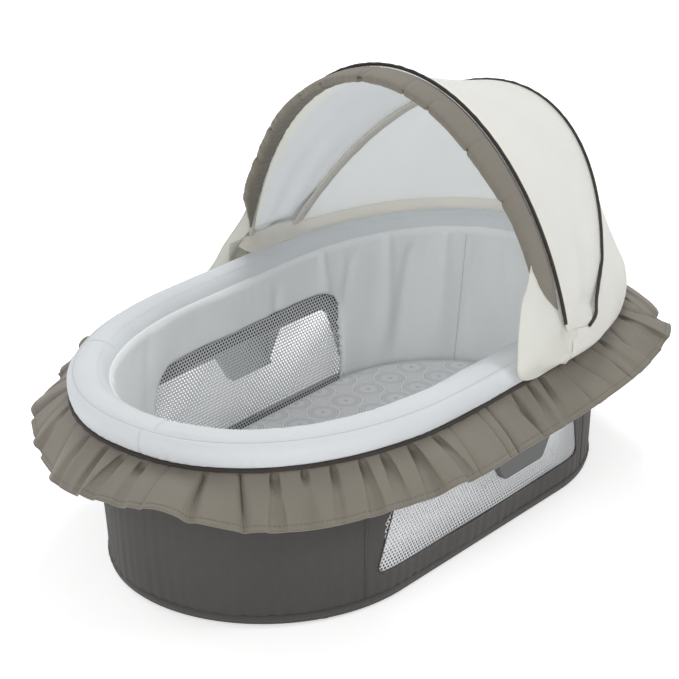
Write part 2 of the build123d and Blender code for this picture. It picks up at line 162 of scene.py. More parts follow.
def ring(size, offsets, heights, count, power=ROUND):
    """Grid round an oval: each column steps out from it and up by the given amounts."""
    points, normals = outline(size, count, power)
    offsets = np.broadcast_to(offsets, (count, np.shape(offsets)[-1]))
    heights = np.broadcast_to(heights, (count, np.shape(heights)[-1]))
    plan = points[:, None, :] + normals[:, None, :] * offsets[:, :, None]
    return np.concatenate([plan, heights[:, :, None]], 2)


# ---- meshes ---------------------------------------------------------------------
def grid_normals(grid, closed_u, closed_v):
    """Unit normals of a grid of points."""
    def slope(axis, closed):
        if closed:
            return np.roll(grid, -1, axis) - np.roll(grid, 1, axis)
        return np.gradient(grid, axis=axis)
    normal = np.cross(slope(0, closed_u), slope(1, closed_v))
    size = np.linalg.norm(normal, axis=2, keepdims=True)
    return normal / np.maximum(size, 1e-9)


def grid_faces(nu, nv, closed_u, closed_v, flip=False):
    """Quads of a grid whose vertices are stored row by row."""
    u = np.arange(nu if closed_u else nu - 1)
    v = np.arange(nv if closed_v else nv - 1)
    uu, vv = np.meshgrid(u, v, indexing="ij")
    u1, v1 = (uu + 1) % nu, (vv + 1) % nv
    quads = np.stack([uu * nv + vv, u1 * nv + vv, u1 * nv + v1, uu * nv + v1], -1).reshape(-1, 4)
    return quads[:, ::-1] if flip else quads


def end_caps(count, sides):
    """Faces that close the first and last ring of a tube."""
    return [list(range(sides)), list(range((count - 1) * sides, count * sides))[::-1]]


def finish_mesh(name, verts, faces, uvs, materials, face_material=None):
    """Smooth object made from points in millimetres, with corner UVs in metres."""
    mesh = bpy.data.meshes.new(name)
    mesh.from_pydata((np.asarray(verts) * MM).tolist(), [], [list(map(int, f)) for f in faces])
    layer = mesh.uv_layers.new(name="UVMap")
    corner = np.zeros(len(mesh.loops), np.int64)
    mesh.loops.foreach_get("vertex_index", corner)
    layer.data.foreach_set("uv", np.asarray(uvs)[corner].astype(np.float32).ravel())
    for material in materials:
        mesh.materials.append(material)
    if face_material is not None:
        mesh.polygons.foreach_set("material_index", np.asarray(face_material, np.int32))
    mesh.polygons.foreach_set("use_smooth", np.full(len(mesh.polygons), True))
    mesh.update()
    obj = bpy.data.objects.new(name, mesh)
    bpy.context.scene.collection.objects.link(obj)
    return obj


def settle(piece, slot, body, *nodes):
    """Hide the CAD nodes a piece stands for and attach it to the body it moves with; slot is not used."""
    if nodes:
        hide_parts(*nodes)
    if body:
        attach(piece, body)


def grid_uvs(grid):
    """Length along each direction of a grid, in metres."""
    u, v = (np.r_[0, np.cumsum(np.linalg.norm(np.diff(grid, axis=k), axis=2).mean(1 - k))] * MM
            for k in range(2))
    return np.stack(np.meshgrid(u, v, indexing="ij"), -1).reshape(-1, 2)


def surface(name, grid, material, slot, body, *nodes, closed_u=True, closed_v=True):
    """One-sided skin over a grid."""
    faces = grid_faces(*grid.shape[:2], closed_u, closed_v)
    skin = finish_mesh(name, grid.reshape(-1, 3), faces, grid_uvs(grid), [material])
    if slot:
        settle(skin, slot, body, *nodes)
    return skin


def cloth(name, grid, thickness, outer, slot, body, *nodes, inner=None, closed_u=False, flip=False,
          keep=None):
    """Thin closed sheet: an outer skin, an inner skin and turned edges all round.

    keep says which of the grid's quads stay.
    """
    count = grid.shape[0] * grid.shape[1]
    normal = grid_normals(grid, closed_u, False) * (-1 if flip else 1)
    faces = grid_faces(*grid.shape[:2], closed_u, False, flip)
    if keep is not None:
        faces = faces[keep.ravel()]
    way = np.concatenate([faces[:, [k, (k + 1) % 4]] for k in range(4)])
    sides = np.sort(way, axis=1)
    _, first, times = np.unique(sides[:, 0] * count + sides[:, 1], return_index=True, return_counts=True)
    rim = way[first[times == 1]]
    edge = np.stack([rim[:, 1], rim[:, 0], rim[:, 0] + count, rim[:, 1] + count], 1)
    every = np.concatenate([faces, faces[:, ::-1] + count, edge])
    verts = np.concatenate([(grid + side * normal * thickness / 2).reshape(-1, 3) for side in (1, -1)])
    used = np.unique(every)
    place = np.zeros(len(verts), np.int64)
    place[used] = np.arange(len(used))
    kind = np.repeat([0, 1, 0], [len(faces), len(faces), len(edge)])
    materials = [outer, inner] if inner else [outer]
    uvs = np.tile(grid_uvs(grid), (2, 1))[used]
    sheet = finish_mesh(name, verts[used], place[every], uvs, materials, kind if inner else None)
    settle(sheet, slot, body, *nodes)
    return sheet


def tube(name, line, radius, material, slot, body, *nodes, closed=False, sides=6, squash=1.0, ups=None):
    """Round or flattened tube along a line, with closed ends."""
    line = np.asarray(line, float)
    way = np.roll(line, -1, 0) - np.roll(line, 1, 0) if closed else np.gradient(line, axis=0)
    way /= np.linalg.norm(way, axis=1)[:, None]
    up = np.tile([0.0, 0.0, 1.0], (len(line), 1)) if ups is None else np.asarray(ups, float)
    side = np.cross(way, up)
    short = np.linalg.norm(side, axis=1) < 1e-3
    side[short] = np.cross(way[short], [1.0, 0.0, 0.0])
    side /= np.linalg.norm(side, axis=1)[:, None]
    up = np.cross(side, way)
    turn = np.linspace(0, 2 * np.pi, sides, endpoint=False)
    radius = np.broadcast_to(radius, len(line))[:, None, None]
    circle = side[:, None] * np.cos(turn)[:, None] + up[:, None] * np.sin(turn)[:, None] * squash
    grid = line[:, None] + radius * circle
    faces = grid_faces(len(line), sides, closed, True).tolist()
    if not closed:
        faces += end_caps(len(line), sides)
    piece = finish_mesh(name, grid.reshape(-1, 3), faces, grid_uvs(grid), [material])
    settle(piece, slot, body, *nodes)
    return piece


# place along a thread dash, and share of its radius
THREAD_SHAPE = [(-0.5, 0.25), (-0.3, 1.0), (0.0, 1.2), (0.3, 1.0), (0.5, 0.25)]


def stitches(name, line, normals, material, slot, length=3.2, gap=1.6, radius=0.42):
    """Closed row of small thread dashes that lie on a surface."""
    lift = 0.15
    line, normals = np.vstack([line, line[:1]]), np.vstack([normals, normals[:1]])
    steps = running(line)
    count = max(1, int(steps[-1] / (length + gap)))
    verts, faces = [], []
    for k in range(count):
        middle = (k + 0.5) * steps[-1] / count
        spots = [middle + length * place for place, _ in THREAD_SHAPE]
        path = np.stack([np.interp(spots, steps, line[:, j]) for j in range(3)], 1)
        normal = np.array([np.interp(middle, steps, normals[:, j]) for j in range(3)])
        normal /= np.linalg.norm(normal)
        way = path[-1] - path[0]
        way /= max(np.linalg.norm(way), 1e-9)
        side = np.cross(way, normal)
        start = len(verts)
        for point, (_, size) in zip(path, THREAD_SHAPE):
            centre = point + normal * (lift * size)
            for angle in np.pi * np.array([0.0, 0.5, 1.0, 1.5]):
                out = np.cos(angle) * side + np.sin(angle) * normal
                verts.append(centre + radius * size * out)
        for j in range(len(THREAD_SHAPE) - 1):
            for i in range(4):
                a, b = start + 4 * j + i, start + 4 * j + (i + 1) % 4
                faces.append([a, b, b + 4, a + 4])
        faces.append([start + i for i in range(4)][::-1])
        faces.append([start + 4 * (len(THREAD_SHAPE) - 1) + i for i in range(4)])
    thread = finish_mesh(name, np.array(verts), faces, np.zeros((len(verts), 2)), [material])
    settle(thread, slot, "basket")
    return thread


# ---- materials --------------------------------------------------------------------
class Recipe:
    """A new material, its shader, and short ways to add nodes to it."""

    def __init__(self, name):
        self.material = bpy.data.materials.new(name)
        self.material.use_nodes = True
        self.tree = self.material.node_tree
        self.shader = self.tree.nodes["Principled BSDF"]

    def feed(self, node, inputs):
        """Join sockets to a node's inputs, and set the inputs given as plain values."""
        for key, value in inputs.items():
            if isinstance(value, bpy.types.NodeSocket):
                self.tree.links.new(value, node.inputs[key])
            else:
                node.inputs[key].default_value = value
        return node

    def add(self, kind, inputs, **settings):
        """Outputs of a new node."""
        node = self.tree.nodes.new(f"ShaderNode{kind}")
        for key, value in settings.items():
            setattr(node, key, value)
        return self.feed(node, inputs).outputs

    def maths(self, operation, *values):
        return self.add("Math", dict(enumerate(values)), operation=operation)[0]

    def place(self):
        return self.add("TexCoord", {})["Object"]

    def noise(self, place, scale, detail=2.0):
        return self.add("TexNoise", {"Vector": place, "Scale": scale, "Detail": detail})[0]

    def ramp(self, source, low, dark, high, light):
        """Colour that runs from dark at the value low to light at the value high."""
        node = self.feed(self.tree.nodes.new("ShaderNodeValToRGB"), {0: source})
        for element, value, colour in zip(node.color_ramp.elements, (low, high), (dark, light)):
            element.position = value
            element.color = (*colour, 1.0)
        return node.outputs[0]

    def spread(self, value, low, high, start=0.0, end=1.0):
        """A value between start and end, spread from low to high."""
        keys = ("Value", "From Min", "From Max", "To Min", "To Max")
        return self.add("MapRange", dict(zip(keys, (value, start, end, low, high))))[0]

    def mix(self, share, first, second):
        return self.add("Mix", {0: share, 6: first, 7: second}, data_type="RGBA")[2]

    def bump(self, height, strength, distance):
        inputs = {"Height": height, "Strength": strength, "Distance": distance * MM}
        return self.add("Bump", inputs)[0]

    def finish(self, colour, roughness, normal, **inputs):
        """Connect the shader; a key such as Sheen_Weight is the input Sheen Weight."""
        named = {key.replace("_", " "): value for key, value in inputs.items()}
        named.update({"Base Color": colour, "Roughness": roughness, "Normal": normal})
        self.feed(self.shader, named)
        return self.material


def shade(colour, factor):
    return tuple(min(1.0, c * factor) for c in colour)


def woven(name, colour, pitch=0.5, roughness=0.85, sheen=0.1, contrast=0.06, depth=0.25,
          twill=False, band=None, through=0.0):
    """Woven cloth: crossing threads in the UV, uneven dye, and a soft sheen.

    band is (width in metres, colour): a strip of painted light along the UV's start, a cream tint for light
    that comes through the cloth there;
    through is the share of the light that passes through the cloth.
    """
    made = Recipe(name)
    maths = made.maths
    split = made.add("SeparateXYZ", {0: made.add("UVMap", {})[0]})
    wave = 2 * math.pi / (pitch * MM)
    u, v = maths("MULTIPLY", split[0], wave), maths("MULTIPLY", split[1], wave)
    if twill:
        threads = maths("SINE", maths("ADD", u, v))
        crossing = maths("MULTIPLY", threads, maths("SINE", maths("MULTIPLY", v, 0.5)))
    else:
        crossing = maths("MULTIPLY", maths("SINE", u), maths("SINE", v))
    place = made.place()
    dye, slub = made.noise(place, 18.0, 4.0), made.noise(place, 420.0)
    tone = maths("ADD", maths("MULTIPLY", crossing, 0.16), maths("MULTIPLY", dye, 0.6))
    tone = maths("ADD", tone, maths("MULTIPLY", slub, 0.4))
    shown = made.ramp(tone, 0.25, shade(colour, 1 - contrast), 0.8, shade(colour, 1 + contrast))
    # the band is painted light: a cream strip mixed into the colour where light seems to come through the
    # cloth
    if band:
        width, lit_tint = band
        wander = maths("ADD", split[0], maths("MULTIPLY", dye, width * 0.25))
        edge = made.spread(wander, 0.0, 1.0, width * 0.75, width * 1.3)
        strip = made.ramp(tone, 0.25, shade(lit_tint, 1 - contrast), 0.8, lit_tint)
        shown = made.mix(edge, strip, shown)
    gloss = made.spread(dye, roughness - 0.07, min(1.0, roughness + 0.07))
    normal = made.bump(maths("ADD", crossing, maths("MULTIPLY", slub, 1.2)), depth, 0.25)
    if through:
        glow = made.add("BsdfTranslucent", {"Color": shown, "Normal": normal})[0]
        both = made.add("MixShader", {0: through, 1: made.shader.outputs[0], 2: glow})[0]
        made.feed(made.tree.nodes["Material Output"], {"Surface": both})
    return made.finish(shown, gloss, normal, Sheen_Weight=sheen, Sheen_Roughness=0.5,
                       Specular_IOR_Level=0.3)


def moulded(name, colour, roughness=0.45, grain=900.0, depth=0.12):
    """Moulded plastic or rubber: fine spark-eroded grain with slightly uneven gloss."""
    made = Recipe(name)
    place, uneven = made.place(), 0.12
    fine, broad = made.noise(place, grain, 3.0), made.noise(place, 14.0, 3.0)
    shown = made.ramp(broad, 0.3, shade(colour, 1 - uneven), 0.7, shade(colour, 1 + uneven))
    return made.finish(shown, made.spread(broad, roughness - 0.08, roughness + 0.1),
                       made.bump(fine, depth, 0.1))


def plated(name, colour):
    """Zinc-plated steel with drawn scratches and dull patches."""
    made = Recipe(name)
    place = made.place()
    drawn = made.add("Mapping", {"Scale": (40.0, 900.0, 900.0), "Vector": place})[0]
    scratch, dull = made.noise(drawn, 5.0), made.noise(place, 60.0)
    return made.finish(made.ramp(dull, 0.3, shade(colour, 0.8), 0.7, colour),
                       made.spread(dull, 0.25, 0.5), made.bump(scratch, 0.1, 0.05), Metallic=0.9)


def pressed_board(name, dark, light):
    """Pressed wood-fibre board."""
    made = Recipe(name)
    fibres = made.add("TexVoronoi", {"Scale": 500.0, "Vector": made.place()})["Distance"]
    return made.finish(made.ramp(fibres, 0.0, dark, 1.0, light), 0.8, made.bump(fibres, 0.2, 0.2))


# rings of dots about a medallion's centre: radius, number and size, in metres
LARGE_DOTS = ((0.0174, 30, 0.0012), (0.0140, 24, 0.0012), (0.0074, 14, 0.0011),
              (0.0040, 7, 0.0009))
SMALL_DOTS = ((0.0082, 14, 0.0010), (0.0050, 9, 0.0010), (0.0018, 3, 0.0008))
PRINTED_CIRCLES = ((0.0212, 0.0010), (0.0106, 0.0008))      # radius and width, in metres
MEDALLION_PITCH = 0.046


def medallion_print(name, ground, dot):
    """Knit cover printed with rings of dots: large medallions with small ones between."""
    made = Recipe(name)
    maths = made.maths
    split = made.add("SeparateXYZ", {0: made.place()})

    def length(x, y):
        return maths("SQRT", maths("ADD", maths("MULTIPLY", x, x), maths("MULTIPLY", y, y)))

    def polar(shift):
        """Distance and direction from the nearest centre of a square lattice."""
        axes = []
        for k in range(2):
            cell = maths("ADD", maths("DIVIDE", split[k], MEDALLION_PITCH), shift)
            off = maths("SUBTRACT", maths("FRACT", cell), 0.5)
            axes.append(maths("MULTIPLY", off, MEDALLION_PITCH))
        return length(*axes), maths("ARCTAN2", axes[1], axes[0])

    def faded(value, full, none):
        """1 up to full, then down to 0 at none."""
        return made.spread(value, 1.0, 0.0, full, none)

    def dots(far, angle, radius, count, size):
        """Ring of printed dots."""
        turn = maths("FRACT", maths("ADD", maths("MULTIPLY", angle, count / (2 * math.pi)), 20.5))
        side = maths("MULTIPLY", maths("SUBTRACT", turn, 0.5), 2 * math.pi * radius / count)
        return faded(length(maths("SUBTRACT", far, radius), side), size * 0.75, size * 1.2)

    far, angle = polar(0.0)
    marks = []
    for radius, width in PRINTED_CIRCLES:
        marks.append(faded(maths("ABSOLUTE", maths("SUBTRACT", far, radius)), width * 0.4, width))
    marks += [dots(far, angle, *row) for row in LARGE_DOTS]
    small = polar(0.5)
    marks += [dots(*small, *row) for row in SMALL_DOTS]
    printed = marks[0]
    for mark in marks[1:]:
        printed = maths("MAXIMUM", printed, mark)
    hole = maths("SUBTRACT", 1.0, faded(far, 0.0115, 0.0122))
    band = maths("MULTIPLY", faded(far, 0.0195, 0.0202), hole)
    shaded = maths("MAXIMUM", band, faded(far, 0.0024, 0.0030))
    base = made.mix(shaded, (*ground, 1.0), (*shade(ground, 0.80), 1.0))
    shown = made.mix(printed, base, (*dot, 1.0))
    knit = maths("MULTIPLY", maths("SINE", maths("MULTIPLY", split[0], 6283.0)),
                 maths("SINE", maths("MULTIPLY", split[1], 5200.0)))
    return made.finish(shown, 0.85, made.bump(maths("ADD", knit, printed), 0.2, 0.2), Sheen_Weight=0.2)


def white_cloth(name, colour, **more):
    return woven(name, colour, contrast=0.02, depth=0.12, sheen=0.05, through=0.5, **more)


RIM_CLOTH = woven("rim_cloth", (0.64, 0.668, 0.69), pitch=0.6, contrast=0.025, depth=0.15)
# its band is painted light: the cream strip beside the front piping stands for light through the cloth
CANOPY_CLOTH = white_cloth("canopy_cloth", (0.84, 0.87, 0.91), band=(0.03, (0.93, 0.94, 0.90)))
BACK_CLOTH = white_cloth("canopy_back_cloth", (0.90, 0.925, 0.95))
LINING = white_cloth("canopy_lining", (0.965, 0.95, 0.905))
FLAP_CLOTH = white_cloth("flap_cloth", (0.90, 0.90, 0.86))
LINER_CLOTH = woven("liner_cloth", (0.80, 0.82, 0.82), pitch=0.6, contrast=0.03, depth=0.15)
TAUPE = woven("taupe_cloth", (0.212, 0.192, 0.158), pitch=0.6, roughness=0.62, contrast=0.07,
              depth=0.3)
CHARCOAL = woven("charcoal_cloth", (0.068, 0.064, 0.061), pitch=0.8, contrast=0.14, depth=0.35,
                 twill=True)
BINDING = woven("binding_tape", (0.045, 0.038, 0.033), pitch=1.1, contrast=0.3, depth=0.5)
SLEEVE = woven("sleeve_tape", (0.60, 0.585, 0.53), pitch=0.7, contrast=0.05, depth=0.3)
NET = woven("net_yarn", (0.72, 0.735, 0.75), contrast=0.04, depth=0.2)
THREAD_TAUPE = woven("taupe_thread", (0.15, 0.13, 0.11), contrast=0.1, depth=0.4, sheen=0.25)
THREAD_WHITE = woven("white_thread", (0.58, 0.61, 0.63), contrast=0.05, depth=0.4, sheen=0.25)
PAD_PRINT = medallion_print("pad_print", (0.78, 0.79, 0.82), (0.98, 0.98, 0.98))
BRACKET = moulded("bracket_plastic", (0.072, 0.074, 0.076), roughness=0.42)
HIDDEN_PLASTIC = moulded("inner_plastic", (0.2, 0.2, 0.21), roughness=0.5)
RUBBER = moulded("foot_rubber", (0.03, 0.03, 0.03), roughness=0.7, grain=600.0, depth=0.3)
STEEL = plated("plated_steel", (0.62, 0.62, 0.64))
BOARD = pressed_board("fibre_board", (0.16, 0.10, 0.055), (0.34, 0.23, 0.14))

# ---- camera, light and floor ---------------------------------------------------------
CAMERA_AT = (-1914.8, -1551.8, 1299.7)
CAMERA_LOOKS_AT = (-3.15, 28.2, 202.36)
CAMERA_LENS = 119.08
CAMERA_SENSOR = 36.0
LAMPS_AIM_AT = (0, 0, 200)
LAMPS = (                         # name, place, diameter and power in watts
    ("key", (1700, -2500, 1900), 1000, 24.0),
    ("top", (900, 500, 2900), 1300, 36.0),
    ("mouth", (-2200, -1000, 1300), 1300, 19.0),
    ("far", (-100, 2700, 1700), 1500, 15.0),
)
FLOOR_HALF = 6000.0
FLOOR_GLOW = 0.54
WORLD_GLOW = 0.44
WHITE = (1.0, 1.0, 1.0, 1.0)


def aimed(name, data, place, target):
    """Camera or lamp at a place, turned towards a target."""
    obj = bpy.data.objects.new(name, data)
    obj.location = Vector(place) * MM
    obj.rotation_euler = (Vector(target) * MM - obj.location).to_track_quat("-Z", "Y").to_euler()
    bpy.context.scene.collection.objects.link(obj)
    return obj


def studio():
    """Camera, pale floor, white surroundings and soft lights."""
    scene = bpy.context.scene
    camera = aimed("camera", bpy.data.cameras.new("camera"), CAMERA_AT, CAMERA_LOOKS_AT)
    camera.data.lens = CAMERA_LENS
    camera.data.sensor_width = CAMERA_SENSOR
    scene.camera = camera

    made = Recipe("floor_paint")
    patches = made.add("TexNoise", {"Scale": 3.0})[0]
    paint = made.ramp(patches, 0.3, (0.83, 0.83, 0.83), 0.7, (0.86, 0.86, 0.86))
    made.feed(made.shader, {"Base Color": paint, "Roughness": 0.9, "Emission Color": WHITE,
                            "Emission Strength": FLOOR_GLOW})
    steps = np.linspace(-FLOOR_HALF, FLOOR_HALF, 9)
    grid = np.stack([*np.meshgrid(steps, steps, indexing="ij"), np.zeros((9, 9))], -1)
    surface("floor", grid, made.material, None, None, closed_u=False, closed_v=False)

    world = bpy.data.worlds.new("studio")
    world.use_nodes = True
    background = world.node_tree.nodes["Background"]
    background.inputs[0].default_value = WHITE
    background.inputs[1].default_value = WORLD_GLOW
    scene.world = world
    for name, place, size, power in LAMPS:
        data = bpy.data.lights.new(name, "AREA")
        data.shape = "DISK"
        data.size = size * MM
        data.energy = power
        aimed(name, data, place, LAMPS_AIM_AT)
    scene.view_settings.view_transform = "Standard"


studio()

# ---- rim ------------------------------------------------------------------------------
RIM_COUNT = 1200
RIM_AROUND = 2030.0               # length once round the outer edge
RIM_FACE_Z = 240.0                # the rim's upper face is above this height
OUTER_SEAM = -6.5                 # distance of the rim's top seam from its outer edge
INNER_SEAM = -34.0
BUTT_SEAMS = ((-388, -20), (-258, 191), (388, 20), (258, -191))     # places on the rim in X and Y
RIM_SECTION = [
    (-6.0, 217.2), (-1.6, 218.0), (0.2, 224.0), (0.9, 231.0), (0.0, 238.0), (-2.4, 243.0),
    (-5.4, 245.6), (-7.6, 246.4), (-12.0, 249.0), (-19.0, 250.6), (-26.0, 250.2), (-33.0, 248.2),
    (-39.0, 244.8), (-43.4, 240.6), (-46.8, 235.4), (-48.8, 229.0), (-49.2, 223.0), (-48.4, 220.0),
    (-46.0, 218.5),
]


def rim_offsets(around, section):
    """Outward and upward steps of the padded rim's surface, with its puckers."""
    offset = np.tile(section[:, 0], (len(around), 1))
    height = np.tile(section[:, 1], (len(around), 1))
    side = smooth(-8.0, -2.0, section[:, 0]) * (section[:, 1] > 217.5)
    facing = smooth(-8.0, -12.0, section[:, 0]) * smooth(-44.0, -38.0, section[:, 0])
    coarse = waves(around, 11, 6, 26)[:, None]
    fine = waves(around, 12, 40, 95, 14)[:, None]
    pucker = waves(around, 13, 110, 190, 16)[:, None]
    near_seam = bump_at(section[:, 0], OUTER_SEAM, 5.0) + bump_at(section[:, 0], INNER_SEAM, 5.0)
    low = smooth(232.0, 219.0, section[:, 1]) * side
    offset += side * (0.8 * coarse + 0.2 * fine) + low * 0.35 * pucker
    height += facing * (0.7 * coarse + 0.25 * fine) + near_seam * 0.2 * pucker
    return offset, height


RIM_NODES = ("rim_padding_left", "rim_padding_right", "rim_padding_head_left",
             "rim_padding_head_right", "rim_padding_foot_left", "rim_padding_foot_right")


def rim():
    """Padded rim with two seams along it and butt seams across it."""
    section = spline(RIM_SECTION, 64)
    offset, height = rim_offsets(np.arange(RIM_COUNT) / RIM_COUNT, section)
    face = section[:, 1] > RIM_FACE_Z
    height -= 0.9 * bump_at(section[:, 0], OUTER_SEAM, 0.9) * face
    top = smooth(-2.0, -12.0, section[:, 0])
    columns = np.arange(len(section))

    def column_of(seam):
        """Column of the section that lies on a seam of the upper face."""
        return int(np.argmin(np.abs(section[:, 0] - seam) + 50 * (section[:, 1] < RIM_FACE_Z)))

    points, _ = outline(RIM, RIM_COUNT)
    edge, runs = column_of(OUTER_SEAM), []
    for spot in BUTT_SEAMS:
        index = nearest(points, *spot)
        runs += [(index, columns <= edge), (index + 9, (columns > edge) & face)]
    for index, part in runs:
        away = np.abs((np.arange(RIM_COUNT) - index + RIM_COUNT // 2) % RIM_COUNT - RIM_COUNT // 2)
        dip = np.exp(-((away * RIM_AROUND / RIM_COUNT / 2.0) ** 2))[:, None] * part
        height -= 0.8 * dip * top
        offset -= 0.7 * dip * (1 - top)
    grid = ring(RIM, offset, height, RIM_COUNT)
    cover = surface("rim_cover", grid, RIM_CLOTH, "rim_fabric", "basket", *RIM_NODES)
    tube("rim_outer_seam", grid[:, edge] + [0, 0, 0.15], 0.55, THREAD_WHITE, "rim_fabric", "basket",
         closed=True)
    column = column_of(INNER_SEAM)
    up = np.abs(grid_normals(grid, True, True)[:, column]) * [0, 0, 1]
    stitches("rim_top_stitch", grid[:, column], up, THREAD_WHITE, "rim_fabric", length=2.4, gap=1.8,
             radius=0.3)
    for k, (index, part) in enumerate(runs):
        line = grid[index % RIM_COUNT, part][2:-1] + [0, 0, 0.1]
        tube(f"rim_butt_seam_{k + 1}", line, 0.5, THREAD_WHITE, "rim_fabric", "basket")


BINDING_SECTION = [(-9, 217.1), (-2.4, 217.2), (0.0, 216.6), (0.6, 214.8), (0.0, 213.0), (-2.4, 212.4),
                   (-9, 212.5)]


def binding():
    """Dark tape that finishes the rim's lower edge."""
    around = np.arange(RIM_COUNT) / RIM_COUNT
    section = spline(BINDING_SECTION, 16)
    offset = section[:, 0] + 0.25 * waves(around, 21, 60, 160, 12)[:, None]
    height = section[:, 1] + 0.3 * waves(around, 22, 10, 40)[:, None]
    grid = ring(RIM, offset, height, RIM_COUNT)
    surface("rim_binding_tape", grid, BINDING, "dark_binding", "basket", "rim_binding")


rim()
binding()

# ---- ruffle ------------------------------------------------------------------------------
RUFFLE_LENGTH = 67.0
RUFFLE_ROOT_Z = 213.0
HEM_STITCH = 6.5                  # distance of the hem's stitching from the edge
PLEAT = 33.5                      # spacing of the gathers along the rim
# lapped steps: place on the rim in X and Y, and overlap
KNIVES = ((350, -122, 17.0), (285, -176, 20.0), (200, -214, 9.0), (108, -232, 17.0),
          (-25, -232, 10.0), (-230, 200, 6.0), (60, 232, 10.0), (250, 195, 13.0), (396, 40, 3.0))


def ruffle():
    """Gathered skirt: pinches pressed in at the root that run out into broad waves at the hem."""
    rng = np.random.default_rng(31)
    across, count = 32, 1900
    points, normals = outline((RIM[0] - 2.0, RIM[1] - 2.0, RIM[2]), 4000)
    loop = np.vstack([points, points[:1]])
    arc = running(loop)
    total = arc[-1]
    s = np.arange(count) * total / count
    around = (s / total)[:, None]
    v = np.linspace(0, 1, across)[None, :]

    def along_from(centre):
        """Distance along the rim from a place on it, either way round."""
        return (((s - centre + total / 2) % total) - total / 2)[:, None]

    def near_place(x, y, width):
        """Bell of height 1 about the rim's point nearest to a place."""
        return bump_at(along_from(arc[nearest(points, x, y)]), 0.0, width)

    out, along = np.zeros((count, across)), np.zeros((count, across))
    gathers = round(total / PLEAT)
    for centre in (np.arange(gathers) + rng.uniform(-0.27, 0.27, gathers)) * total / gathers:
        slant, fade = rng.uniform(-9, 9), rng.uniform(0.35, 1.0)
        pinch, fold = rng.uniform(6.5, 10.0), rng.uniform(2.5, 8.5)
        lean = rng.uniform(-1.3, 1.3)
        depth = pinch * (1 - smooth(0.1 * fade, fade, v)) + fold * smooth(0.1, 0.8, v)
        place = (along_from(centre) - slant * v) / (2.4 + 3.4 * v)
        bell = np.exp(-(place**2))
        out -= depth * bell
        along += 1.5 * lean * depth * place * bell
    calm = 1 - 0.65 * near_place(-396, -30, 170) - 0.8 * near_place(-330, 140, 110)
    calm -= 0.8 * near_place(398, -15, 115)
    broad, fine = waves(around, 32, 13, 21, 8), waves(around, 35, 30, 46, 10)
    out += calm * 10.5 * v**1.3 * broad + 2.4 * v * fine
    for x, y, overlap in KNIVES:
        far = along_from(arc[nearest(points, x, y)])
        place = far / (5.0 + 4.0 * v)
        along -= overlap * v**1.2 * place * np.exp(0.5 - place**2 / 2)
        out -= 0.62 * overlap * v**1.2 * np.tanh(2 * place) * bump_at(far, 0.0, 48.0)
    swing = 62 + 5 * waves(around, 36, 5, 10) + 3 * waves(around, 33, 16, 30)
    swing += 12 * near_place(-398, 10, 150) - 22 * near_place(-300, -170, 75)
    swing -= 9 * near_place(-60, -232, 190)
    swing -= 32 * near_place(-366, 96, 115) + 15 * near_place(368, -110, 90)
    swing += 10 * near_place(399, 50, 60) - 14 * near_place(396, -40, 75)
    swing = np.radians(swing) + np.radians(20) * (0.5 - v)
    step = RUFFLE_LENGTH * (1 + 0.02 * waves(around, 34, 4, 12)) / (across - 1)
    reach = np.cumsum(np.sin(swing) * step, axis=1) - np.sin(swing[:, :1]) * step
    drop = np.cumsum(np.cos(swing) * step, axis=1) - np.cos(swing[:, :1]) * step
    outward = -1.0 + reach + out * np.cos(swing)
    height = RUFFLE_ROOT_Z - drop + out * np.sin(swing) * smooth(0.0, 0.08, v)
    shifted = (s[:, None] + along * smooth(0.0, 0.1, v)) % total
    wrapped = np.vstack([normals, normals[:1]])
    grid = np.zeros((count, across, 3))
    for k in range(2):
        way = np.interp(shifted, arc, wrapped[:, k])
        grid[:, :, k] = np.interp(shifted, arc, loop[:, k]) + way * outward
    grid[:, :, 2] = height
    skirt = cloth("ruffle_cloth", grid, 0.7, TAUPE, "taupe_fabric", "basket", "ruffle", closed_u=True,
                  flip=True)
    row = int(across * (1 - HEM_STITCH / RUFFLE_LENGTH))
    normal = -grid_normals(grid, True, False)[:, row]
    thread = stitches("ruffle_hem_stitch", grid[:, row] + 0.4 * normal, normal, THREAD_TAUPE,
                      "taupe_fabric", radius=0.36)
    fold_edge = tube("ruffle_hem_fold", grid[:, -1], 0.8, TAUPE, "taupe_fabric", "basket", closed=True,
                     sides=8)
    middle = grid[:, across // 2]
    cut = length_of(np.vstack([middle, middle[:1]]))


ruffle()


# ---- outer wall --------------------------------------------------------------------------
WALL_COUNT = 1400
SIDE_Y = 120.0                    # points farther out than this belong to a side
WINDOW_OUT = ((199.0, 41.0), (170.0, 142.0))     # half width and height, bottom and top


def climb(low, high, heights, rows):
    """Grid that goes evenly from one outline up to another."""
    t = np.linspace(0, 1, rows)[None, :, None]
    height = np.broadcast_to(heights[0] + (heights[1] - heights[0]) * t, (len(low), rows, 1))
    return np.concatenate([low[:, None] * (1 - t) + high[:, None] * t, height], 2)


def push_out(grid, amount):
    """Grid moved along its level outward direction."""
    way = np.roll(grid, -1, 0) - np.roll(grid, 1, 0)
    normal = np.stack([way[:, :, 1], -way[:, :, 0]], -1)
    normal /= np.linalg.norm(normal, axis=2, keepdims=True)
    moved = grid.copy()
    moved[:, :, :2] += normal * np.broadcast_to(amount, grid.shape[:2])[:, :, None]
    return moved


def past_corner(dx, dz, corner):
    """Distance outside a round corner, from how far a place is past its centre."""
    inside = np.minimum(np.maximum(dx, dz), 0) - corner
    return inside + np.hypot(np.maximum(dx, 0), np.maximum(dz, 0))


def slanted_window(x, z):
    """Distance outside the outer window's slanted outline, negative inside."""
    (wide, low), (narrow, high) = WINDOW_OUT
    corner = 12.0
    slope = (wide - narrow) / (high - low)
    side = (np.abs(x) - wide + slope * (z - low)) / math.hypot(1, slope) + corner
    return past_corner(side, np.maximum(low - z, z - high) + corner, corner)


